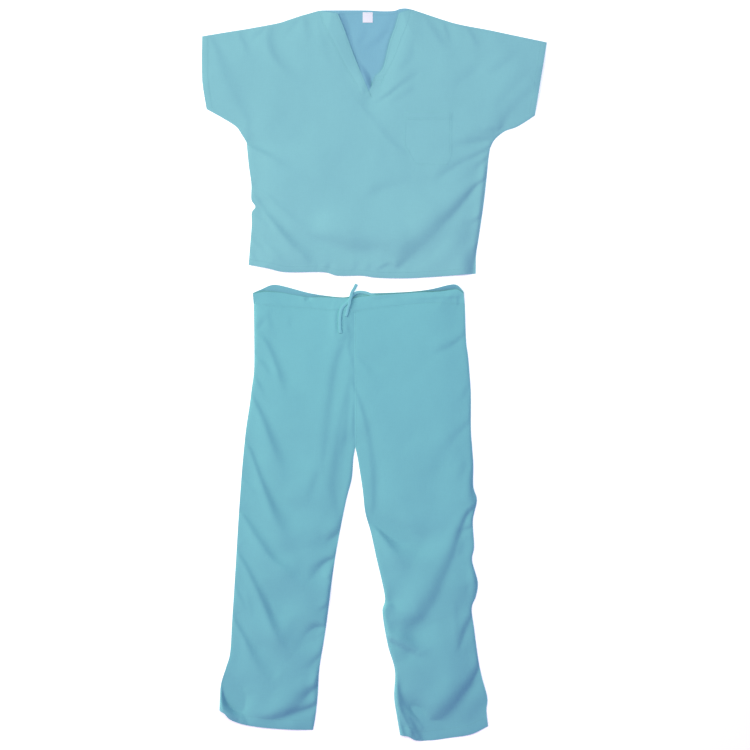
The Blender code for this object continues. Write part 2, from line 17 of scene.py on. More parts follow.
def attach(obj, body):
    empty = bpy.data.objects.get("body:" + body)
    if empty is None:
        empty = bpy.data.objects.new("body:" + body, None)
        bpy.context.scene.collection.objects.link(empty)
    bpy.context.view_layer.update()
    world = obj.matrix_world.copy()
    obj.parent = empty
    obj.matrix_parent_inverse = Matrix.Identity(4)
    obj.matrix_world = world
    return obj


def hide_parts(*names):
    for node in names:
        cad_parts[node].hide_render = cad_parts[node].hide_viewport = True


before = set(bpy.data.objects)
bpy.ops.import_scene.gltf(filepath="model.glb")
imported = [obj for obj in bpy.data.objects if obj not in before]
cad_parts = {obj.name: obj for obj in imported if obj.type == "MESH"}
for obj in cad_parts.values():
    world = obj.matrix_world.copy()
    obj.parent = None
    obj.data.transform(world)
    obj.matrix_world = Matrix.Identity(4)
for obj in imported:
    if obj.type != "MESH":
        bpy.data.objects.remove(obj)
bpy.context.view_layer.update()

MM = 0.001

# Cloth as it lies
CLOTH_THICKNESS = 0.5
BACK_THICKNESS = 0.3
NECK_TAPE_THICKNESS = 0.4
LABEL_THICKNESS = 0.3
CLOTH_SMOOTH_ANGLE = math.radians(45)
BACK_LEVEL = 0.4
BACK_SLACK = 0.8
BACK_ROOM = 0.9
BACK_RIM = 8.0
SEAM_LOW = 1.2
FRONT_LEVEL = 3.2
SEAM_ROLL = 3.6
LOWEST_FRONT = 0.95
SETTLE = 0.5
CROWN = 6.0
CROWN_REACH = 46.0
HEM_START = 38.0
CUFF_START = 55.0
WAIST_START = 30.0
NECK_EDGE_START = 14.0
OPEN_DROP = 0.8
OPEN_ROLL = 4.0
FOLD_UNITS = (1, 1, 1, 0.01)
FOLD_FADE = 3.0
FOLD_GAIN = 1.15
FOLD_WIDTH = 1.35
FOLD_SPAN = 3.0
LEAST_SPAN = 12.0
FOLD_REACH = 10.0
FOLD_STEPS = 5
# A fold's width on its left and on its right, and how much its lean adds to each
LEFT_WIDTH, LEFT_LEAN = 1.0, 0.3
RIGHT_WIDTH, RIGHT_LEAN = 0.95, -0.35
SLOPE_FALL = 12.0
# Low waves all over: size, height and seed of each
TOP_RIPPLES = [(95, 1.3, 3.1), (38, 0.5, 8.4)]
TROUSER_RIPPLES = [(95, 1.3, 6.6), (38, 0.5, 1.9)]
BACK_RIPPLE = (45, 0.5, 5.2)

# Mesh steps: even ones, and closer ones from an edge inwards
TOP_PITCH_ACROSS = 4.0
TOP_PITCH_ALONG = 3.0
BACK_PITCH_ACROSS = 3.6
BACK_PITCH_ALONG = 4.0
LEG_PITCH = 2.6
LEG_BACK_PITCH = 9.0
BAND_PITCH = 3.0
NECK_TAPE_PITCH = 1.6
POCKET_PITCH = 3.2
CASING_PITCH_ACROSS = 2.4
CASING_PITCH_ALONG = 2.2
CASING_BACK_PITCH = 2.5
CASING_BACK_STEPS = 65
RIM_STEPS = (0.8, 2.0, 4.0)
BAND_RIM_STEPS = (1.0, 2.5)
CASING_SEAM_STEPS = (0.8, 1.8, 3.0)
CASING_RIM_STEPS = (0.8, 2.0)
HEM_STEPS = (0.6, 2.5, 6.0, 9.5, 12.5, 14.0, 14.8, 15.5, 16.3, 17.6, 20.0)
LEG_HEM_STEPS = (0.6, 2.5, 6.0, 10.0, 14.0, 18.0, 21.5, 23.5, 24.3, 25.0, 25.8, 27.2, 30.0)
POCKET_FOOT_STEPS = (1.0, 2.4, 4.0)
POCKET_MOUTH_STEPS = (1.2, 4.0, 7.0, 10.0, 13.0, 14.2, 15.5, 17.0, 18.5, 19.5, 21.0)

# Lengths that the steps are shared out on
BODY_LENGTH = 300.0
YOKE_LENGTH = 296.0
SLEEVE_LEFT_LENGTH = 111.0
SLEEVE_RIGHT_LENGTH = 142.0
BAND_WIDTH = 40.0
POCKET_HEIGHT = 120.0
LEG_WIDTH = 250.0
SHIN_LENGTH = 710.0
SEAT_LENGTH = 350.0
SHIN_SHARE = 30 / 44
CASING_LENGTH = 265.0
CASING_HEIGHT = 34.0
CASING_BACK_HEIGHT = 45.0

# Hems, from the edge to the step that their stitches hold
TOP_HEM_DEPTH = 15.5
CUFF_DEPTH = 15.5
LEG_HEM_DEPTH = 25.0
HEM_STEP = 0.26
HEM_STEP_RUN = 1.6
HEM_STEP_LEAD = 0.2
STITCH_GROOVE = 0.22
GROOVE_WIDTH = 1.1

# Seams, patches and bands: how they stand on what lies below, and what their stitches pull in
CENTRE_GROOVE = 0.5
CENTRE_GROOVE_WIDTH = 2.8
BAND_LIFT = 0.12
BAND_GROOVE_WIDTH = 2.4
BAND_ROW = 4.5
BAND_ROW_WIDTH = 1.4
LAP_DROP = 0.9
NECK_TAPE_LIFT = 0.75
NECK_TAPE_PRESS = 0.3
POCKET_EDGE_LIFT = 0.10
POCKET_LIFT = 0.16
POCKET_GROOVE = 0.10
POCKET_GROOVE_WIDTH = 1.2
POCKET_GAPE = 0.6
POCKET_GAPE_REACH = 14.0
POCKET_HEM_LIFT = 0.08
POCKET_HEM_DEPTH = 18.4
CASING_LIFT = 0.25
CASING_PUFF = 0.6
CASING_GROOVE = 0.25
CASING_GROOVE_WIDTH = 1.3
CASING_ROW = 3.1
DIMPLE_DEPTH = 1.4
DIMPLE_WIDTH = 5.0

# Stitches, and how far their rows lie from hem steps, seams and edges
STITCH_PITCH = 3.0
STITCH_LENGTH = 2.3
STITCH_RADIUS = 0.28
STITCH_SEAT = 0.35
HEM_ROW = 1.2
SEAM_ROW = 3.2
V_EDGE_ROW = 4.0
WAIST_ROW = 2.6
POCKET_ROW = 2.8
PEN_ROW = 8.5
POCKET_MOUTH_ROWS = (14.2, 18.0)
LAP_ROWS = (745, 736)

# Drawstring tape
TAPE_WIDTH = 9.0
TAPE_THICKNESS = 2.0
TAPE_WALL = 0.7 * TAPE_THICKNESS
TAPE_CAMBER = 0.6
TAPE_ROUNDING = 0.5
TAPE_STEP = 2.0

# View, with the width that it frames, and light; the studio is in metres
VIEW_WIDTH = 1875.0
VIEW_CENTRE = (1.25, -1.25)
VIEW_HEIGHT = 4500.0
VIEW_LEVEL = 4.0
SENSOR = 36.0
FLOOR_SIZE = 9.0
FLOOR_DROP = 0.0002
SKY_COLOUR = (0.47, 0.23, 1.0, 1.0)
SKY_STRENGTH = 0.473
# Place, size, power and colour of each light
LIGHTS = {
    "key_light": ((-6.15, 1.50, 4.95), 6.0, 550, (0.92, 0.87, 0.64)),
    "top_light": ((0, 0.9, 2.6), 1.0, 36, (0.68, 0.92, 0.62)),
}

# An arc is a smooth line through its points, with the mesh steps of the solid along it.
Arc = namedtuple("Arc", "steps points")

# Top, every edge running left to right or bottom to top
TOP_HEM = [Arc(36, [(-315, 274), (-270, 266), (-222, 256), (-130, 256), (-92, 247),
                    (-32, 247), (5, 242), (75, 240.5), (145, 244), (253, 252)])]
TOP_SIDE_LEFT = [Arc(14, [(-315, 274), (-311, 324), (-307, 375), (-307, 405), (-298, 420),
                          (-308, 438), (-308, 476), (-314, 520), (-319, 569)])]
TOP_SIDE_RIGHT = [Arc(14, [(253, 252), (254, 299), (260, 339), (272, 420), (279, 480),
                           (285, 540), (289, 566)])]
CHEST_LINE = [Arc(36, [(-319, 569), (289, 566)])]
UNDERARM_LEFT = [Arc(5, [(-420, 664), (-377, 640), (-346, 620), (-332, 600),
                         (-320, 580), (-319, 569)])]
UNDERARM_RIGHT = [Arc(5, [(289, 566), (300, 587), (325, 608), (355, 619),
                          (385, 637), (401, 648)])]
CUFF_LEFT = [Arc(13, [(-420, 664), (-428, 715), (-431, 752), (-431, 846)])]
CUFF_RIGHT = [Arc(13, [(401, 648), (415, 735), (431, 831)])]
ARMHOLE_LEFT = [Arc(13, [(-319, 569), (-320, 864)])]
ARMHOLE_RIGHT = [Arc(13, [(289, 566), (289, 861)])]
SHOULDER_LEFT_OUTER = [Arc(5, [(-431, 846), (-365, 857), (-320, 864)])]
SHOULDER_LEFT_INNER = [Arc(8, [(-320, 864), (-245, 878), (-215, 887), (-185, 897), (-139, 910)])]
SHOULDER_RIGHT_INNER = [Arc(8, [(94, 913), (115, 906), (175, 886), (215, 875), (289, 861)])]
SHOULDER_RIGHT_OUTER = [Arc(5, [(289, 861), (355, 847), (431, 831)])]
NECK_SEAM_LEFT = [Arc(9, [(-139, 910), (-124, 866), (-100, 820), (-81, 781), (-56, 739),
                          (-30, 694)])]
NECK_SEAM_FLOOR = [Arc(2, [(-30, 694), (9, 694)])]
NECK_SEAM_RIGHT = [Arc(9, [(9, 694), (24, 739), (46, 779), (61, 816), (72, 846), (84, 874),
                           (94, 913)])]
V_EDGE_LEFT = [Arc(8, [(-92, 902), (-78, 869), (-66, 836), (-54, 804), (-43, 776),
                       (-34, 754), (-24, 730), (-14.5, 708)]),
               Arc(1, [(-14.5, 708), (-8, 694)])]
V_EDGE_RIGHT = [Arc(1, [(-7.5, 694), (-13.5, 708.5)]),
                Arc(2, [(-13.5, 708.5), (-6, 724), (1, 745)]),
                Arc(1, [(1, 745), (15, 757)]),
                Arc(5, [(15, 757), (23, 771), (31, 804), (39, 836), (51, 869), (61, 903)])]
BACK_NECK = [Arc(20, [(-139, 910), (-120, 911), (-24, 911), (20, 909), (49, 910), (64, 915),
                      (79, 916), (94, 913)])]
NECK_TAPE_EDGE = [Arc(6, [(-88, 910), (-24, 910), (19, 907), (56, 910.5)])]
FRONT_NECKLINE = (SHOULDER_LEFT_INNER + NECK_SEAM_LEFT + NECK_SEAM_FLOOR + NECK_SEAM_RIGHT
                  + SHOULDER_RIGHT_INNER)
FRONT_NECKLINE_LENGTHS = (181, 190, 34, 190, 200)
BACK_NECKLINE = SHOULDER_LEFT_INNER + BACK_NECK + SHOULDER_RIGHT_INNER
BACK_NECKLINE_LENGTHS = (181, 560, 200)
NECK_TAPE_DROP = 8.0
BAND_CUT = (46.0, 250.0)
# The square lap at the foot of the V: from where to where its steps run, and how high up
LAP_STEPS = [(-1, 27, 747), (-3, 25, 738.5)]
LABEL_SIZE = (25.0, 26.0)
LABEL_TOP = (-17.0, 906.0)

# Trousers
SIDE_LEFT = [Arc(14, [(-302, 177), (-301, 105), (-301, 15), (-307, -35), (-312, -75),
                      (-321, -135), (-326, -181)]),
             Arc(30, [(-326, -181), (-331, -235), (-337, -315), (-341, -375),
                      (-347, -475), (-352, -555), (-356, -615), (-361, -695), (-372, -735),
                      (-384, -775), (-387, -815), (-388, -840)])]
SIDE_RIGHT = [Arc(14, [(226, 174), (229, 85), (234, 45), (239, -15), (241, -55),
                       (241, -135), (244, -181)]),
              Arc(30, [(244, -181), (247, -225), (247, -280), (256, -315), (246, -365),
                       (249, -430), (244, -465), (258, -518), (254, -553), (243, -585),
                       (249, -635), (259, -710), (268, -755), (282, -808), (280, -840),
                       (284, -880)])]
CENTRE_SEAM = [Arc(14, [(-51, 156), (-48, -181)])]
INSEAM_LEFT = [Arc(30, [(-48, -181), (-53, -210), (-57, -260), (-71, -315), (-92, -420),
                        (-104, -495), (-114, -575), (-125, -655), (-138, -735),
                        (-142, -800), (-148, -855), (-154, -889)])]
INSEAM_RIGHT = [Arc(30, [(-48, -181), (-41, -215), (-30, -285), (-23, -345), (-9, -395),
                         (4, -455), (26, -555), (20, -595), (33, -675), (51, -740),
                         (49, -805), (56, -855), (64, -902)])]
LEG_HEM_LEFT = [Arc(11, [(-388, -840), (-375, -846), (-360, -862), (-330, -874),
                         (-285, -882), (-225, -887), (-154, -889)])]
LEG_HEM_RIGHT = [Arc(11, [(64, -902), (85, -905), (105, -915), (142, -915),
                          (187, -909), (240, -900), (284, -880)])]
WAIST_SEAM_LEFT = [Arc(11, [(-302, 177), (-274, 172), (-185, 165), (-99, 159), (-51, 156)])]
WAIST_SEAM_RIGHT = [Arc(11, [(-51, 156), (1, 164), (51, 170), (139, 176), (226, 174)])]
WAIST_EDGE_LEFT = [Arc(11, [(-304, 201), (-279, 206), (-256, 206), (-231, 204),
                            (-204, 199), (-164, 193), (-129, 193), (-51, 190)])]
WAIST_EDGE_RIGHT = [Arc(11, [(-51, 190), (-34, 194), (4, 197.5), (34, 200), (64, 202),
                             (110, 205.5), (141, 206), (164, 207.5), (188, 211), (206, 212.5),
                             (222, 204)])]
BACK_WAIST_EDGE = [Arc(30, [(-304, 204), (-285, 212), (-255, 224), (-225, 220), (-165, 204),
                            (-115, 196), (-77, 193), (-58, 197), (-46, 202), (-30, 204),
                            (0, 203.5), (75, 206),
                            (135, 212), (187, 224), (205, 224), (216, 215), (223, 206)])]

CASING_DIMPLE = [(-170, 188), (-163, 190)]

# Chest pocket, a patch whose lower corners are cut off
POCKET_SIDE_LEFT = [Arc(8, [(74, 573), (76, 655)])]
POCKET_SIDE_RIGHT = [Arc(8, [(195, 546), (196, 655)])]
POCKET_FOOT = [Arc(3, [(74, 573), (98, 530)]), Arc(1, [(98, 530), (106, 524)]),
               Arc(6, [(106, 524), (184, 521)]), Arc(2, [(184, 521), (195, 546)])]
POCKET_MOUTH = [Arc(12, [(76, 655), (196, 655)])]

# A fold is a slope that falls to the left of its line, walked from head to foot. Each of its
# places is x, y, half the width of the slope there and its steepness in hundredths.
TOP_FOLDS = [
    # Sleeve on the wearer's right, and its shoulder
    [(-416, 850, 3, 0), (-409, 842, 4, 14), (-393, 812, 6, 17), (-378, 770, 11, 12),
     (-360, 726, 14, 11), (-338, 680, 14, 13), (-318, 641, 9, 15), (-315, 605, 6, 8),
     (-315, 585, 5, 0)],
    [(-343, 866, 4, 0), (-338, 853, 5, 15), (-323, 822, 5, 15), (-316, 790, 6, 0)],
    [(-262, 874, 3, 0), (-274, 867, 4, 15), (-296, 848, 4, 17), (-318, 831, 4, 0)],
    [(-262, 876, 6, 0), (-261, 860, 9, 15), (-263, 836, 9, 19), (-253, 799, 8, 23),
     (-230, 770, 9, 18), (-205, 755, 9, 9), (-186, 750, 9, 0)],
    [(-176, 896, 4, 0), (-173, 888, 5, 15), (-165, 852, 8, 9), (-165, 820, 9, 0)],
    [(-186, 892, 3, 0), (-194, 883, 3, 12), (-218, 856, 4, 7), (-228, 840, 4, 0)],
    [(-146, 900, 4, 0), (-140, 880, 5, 6), (-122, 805, 6, 6), (-104, 750, 7, 0)],
    # Shoulder and sleeve on the wearer's left
    [(122, 892, 5, 0), (131, 886, 6, 10), (148, 860, 7, 15), (172, 828, 9, 13), (202, 810, 9, 0)],
    [(170, 884, 3, 0), (175, 874, 4, 16), (183, 850, 5, 16), (194, 820, 6, 0)],
    [(230, 872, 3, 0), (235, 863, 4, 14), (250, 836, 7, 16), (259, 806, 8, 0)],
    [(372, 815, 8, 0), (350, 803, 8, 7), (321, 778, 8, 11), (290, 757, 8, 9),
     (258, 748, 9, 0)],
    [(268, 775, 9, 0), (250, 764, 9, 8), (208, 731, 9, 7), (192, 718, 9, 0)],
    [(392, 770, 9, 0), (372, 748, 10, 7), (337, 713, 10, 9), (307, 678, 10, 7),
     (294, 662, 10, 0)],
    [(408, 728, 9, 4), (397, 718, 10, 8), (362, 687, 10, 11), (331, 652, 9, 13),
     (314, 616, 6, 20), (305, 607, 5, 10)],
    [(308, 613, 4, 16), (296, 612, 5, 26), (283, 611, 5, 24), (272, 608, 5, 0)],
    [(300, 592, 4, 10), (287, 590, 6, 28), (245, 584, 8, 28), (204, 578, 8, 14),
     (190, 576, 8, 0)],
    # Below the V
    [(96, 860, 5, 0), (94, 820, 6, 5), (89, 794, 6, 8), (68, 770, 6, 7), (58, 758, 6, 0)],
    [(112, 760, 5, 0), (97, 747, 6, 11), (67, 726, 5, 20), (36, 701, 4, 27), (13, 687, 4, 20),
     (-8, 673, 5, 0)],
    [(105, 722, 6, 0), (90, 710, 6, 9), (50, 687, 6, 7), (35, 678, 6, 0)],
    [(-36, 680, 4, 0), (-25, 662, 5, 14), (6, 627, 6, 9), (31, 594, 7, 13), (55, 570, 7, 18),
     (76, 553, 5, 14), (88, 540, 4, 0)],
    [(-25, 716, 2, 0), (-26, 709, 2, 20), (-29, 694, 2, 0)],
    [(-11, 706, 2, 8), (-9, 702, 2, 12), (-6, 697, 2, 0)],
    # Side of the body on the wearer's right
    [(-324, 580, 3, 30), (-315, 574, 5, 44), (-290, 562, 6, 46), (-265, 549, 7, 38),
     (-240, 535, 9, 20), (-211, 516, 12, 9), (-176, 497, 13, 3), (-150, 484, 13, 0)],
    [(-306, 470, 3, 20), (-296, 465, 4, 26), (-264, 446, 5, 24), (-236, 420, 7, 20),
     (-203, 391, 9, 25), (-163, 363, 11, 29), (-130, 352, 11, 12), (-108, 350, 10, 0)],
    [(-304, 456, 3, 20), (-296, 445, 4, 26), (-275, 411, 5, 34), (-249, 379, 7, 42),
     (-222, 347, 8, 39), (-196, 319, 11, 31), (-168, 293, 11, 24), (-159, 262, 8, 0)],
    [(-305, 402, 3, 20), (-298, 397, 4, 26), (-275, 379, 5, 24), (-257, 355, 5, 0)],
    [(-300, 420, 3, 30), (-294, 414, 4, 32), (-286, 404, 4, 22), (-278, 393, 4, 0)],
    [(-310, 345, 3, 20), (-303, 336, 4, 24), (-280, 312, 5, 16), (-268, 298, 6, 0)],
    [(-285, 345, 5, 0), (-272, 332, 5, 15), (-243, 302, 6, 15), (-218, 276, 6, 0)],
    [(-314, 306, 3, 25), (-307, 301, 4, 26), (-296, 290, 4, 12), (-288, 282, 4, 0)],
    # Belly
    [(84, 344, 14, 0), (55, 337, 16, 11), (5, 322, 18, 25), (-50, 320, 18, 33),
     (-88, 329, 17, 36), (-120, 341, 15, 33), (-150, 353, 13, 26), (-180, 368, 11, 15),
     (-205, 384, 10, 0)],
    [(100, 348, 14, 0), (76, 322, 18, 17), (50, 302, 18, 22), (22, 290, 15, 18),
     (-4, 284, 12, 0)],
    [(90, 480, 10, 0), (62, 477, 10, 11), (16, 467, 10, 14), (-22, 447, 10, 7),
     (-45, 442, 10, 0)],
    # Side of the body on the wearer's left
    [(284, 494, 3, 30), (275, 488, 3, 34), (250, 470, 4, 35), (226, 443, 7, 35),
     (193, 405, 10, 34), (164, 378, 14, 31), (134, 345, 17, 31), (104, 317, 17, 33),
     (78, 291, 13, 33), (56, 269, 7, 20), (47, 261, 5, 0)],
    [(262, 376, 16, 0), (238, 344, 22, 12), (208, 310, 26, 20), (172, 286, 24, 18),
     (130, 268, 18, 10), (100, 260, 14, 0)],
    [(205, 385, 14, 0), (172, 348, 15, 12), (150, 320, 15, 16), (120, 292, 14, 16),
     (92, 272, 12, 14), (70, 262, 10, 0)],
    [(284, 540, 3, 0), (281, 515, 4, 36), (274, 460, 4, 40), (268, 410, 4, 40),
     (261, 350, 4, 36), (257, 300, 4, 36), (255, 262, 4, 0)],
    [(296, 570, 3, 20), (287, 566, 4, 30), (253, 549, 5, 28), (221, 534, 5, 20),
     (190, 517, 7, 22), (160, 498, 9, 15), (140, 489, 10, 0)],
    [(288, 545, 3, 20), (281, 540, 4, 30), (258, 523, 5, 16), (246, 510, 6, 0)],
    [(272, 396, 3, 30), (264, 392, 4, 32), (245, 382, 4, 20), (236, 379, 4, 0)],
    [(266, 344, 6, 6), (260, 320, 12, 28), (252, 300, 16, 34), (246, 284, 18, 36),
     (244, 268, 18, 34), (244, 250, 16, 26), (244, 236, 12, 8)],
    [(-285, 556, 28, 0), (-230, 568, 34, 5), (-150, 576, 34, 8), (-90, 584, 28, 0)],
    # Hem
    [(62, 262, 3, 0), (50, 270, 4, 26), (38, 276, 3, 30), (16, 267, 3, 30), (4, 265, 3, 0)],
    [(-114, 285, 5, 0), (-117, 272, 5, 18), (-120, 254, 4, 0)],
    [(-38, 282, 6, 0), (-46, 272, 6, 15), (-60, 254, 5, 0)],
    [(-140, 282, 4, 0), (-146, 270, 4, 11), (-150, 258, 4, 0)],
    [(-8, 282, 5, 0), (-14, 270, 5, 13), (-20, 256, 5, 0)],
]

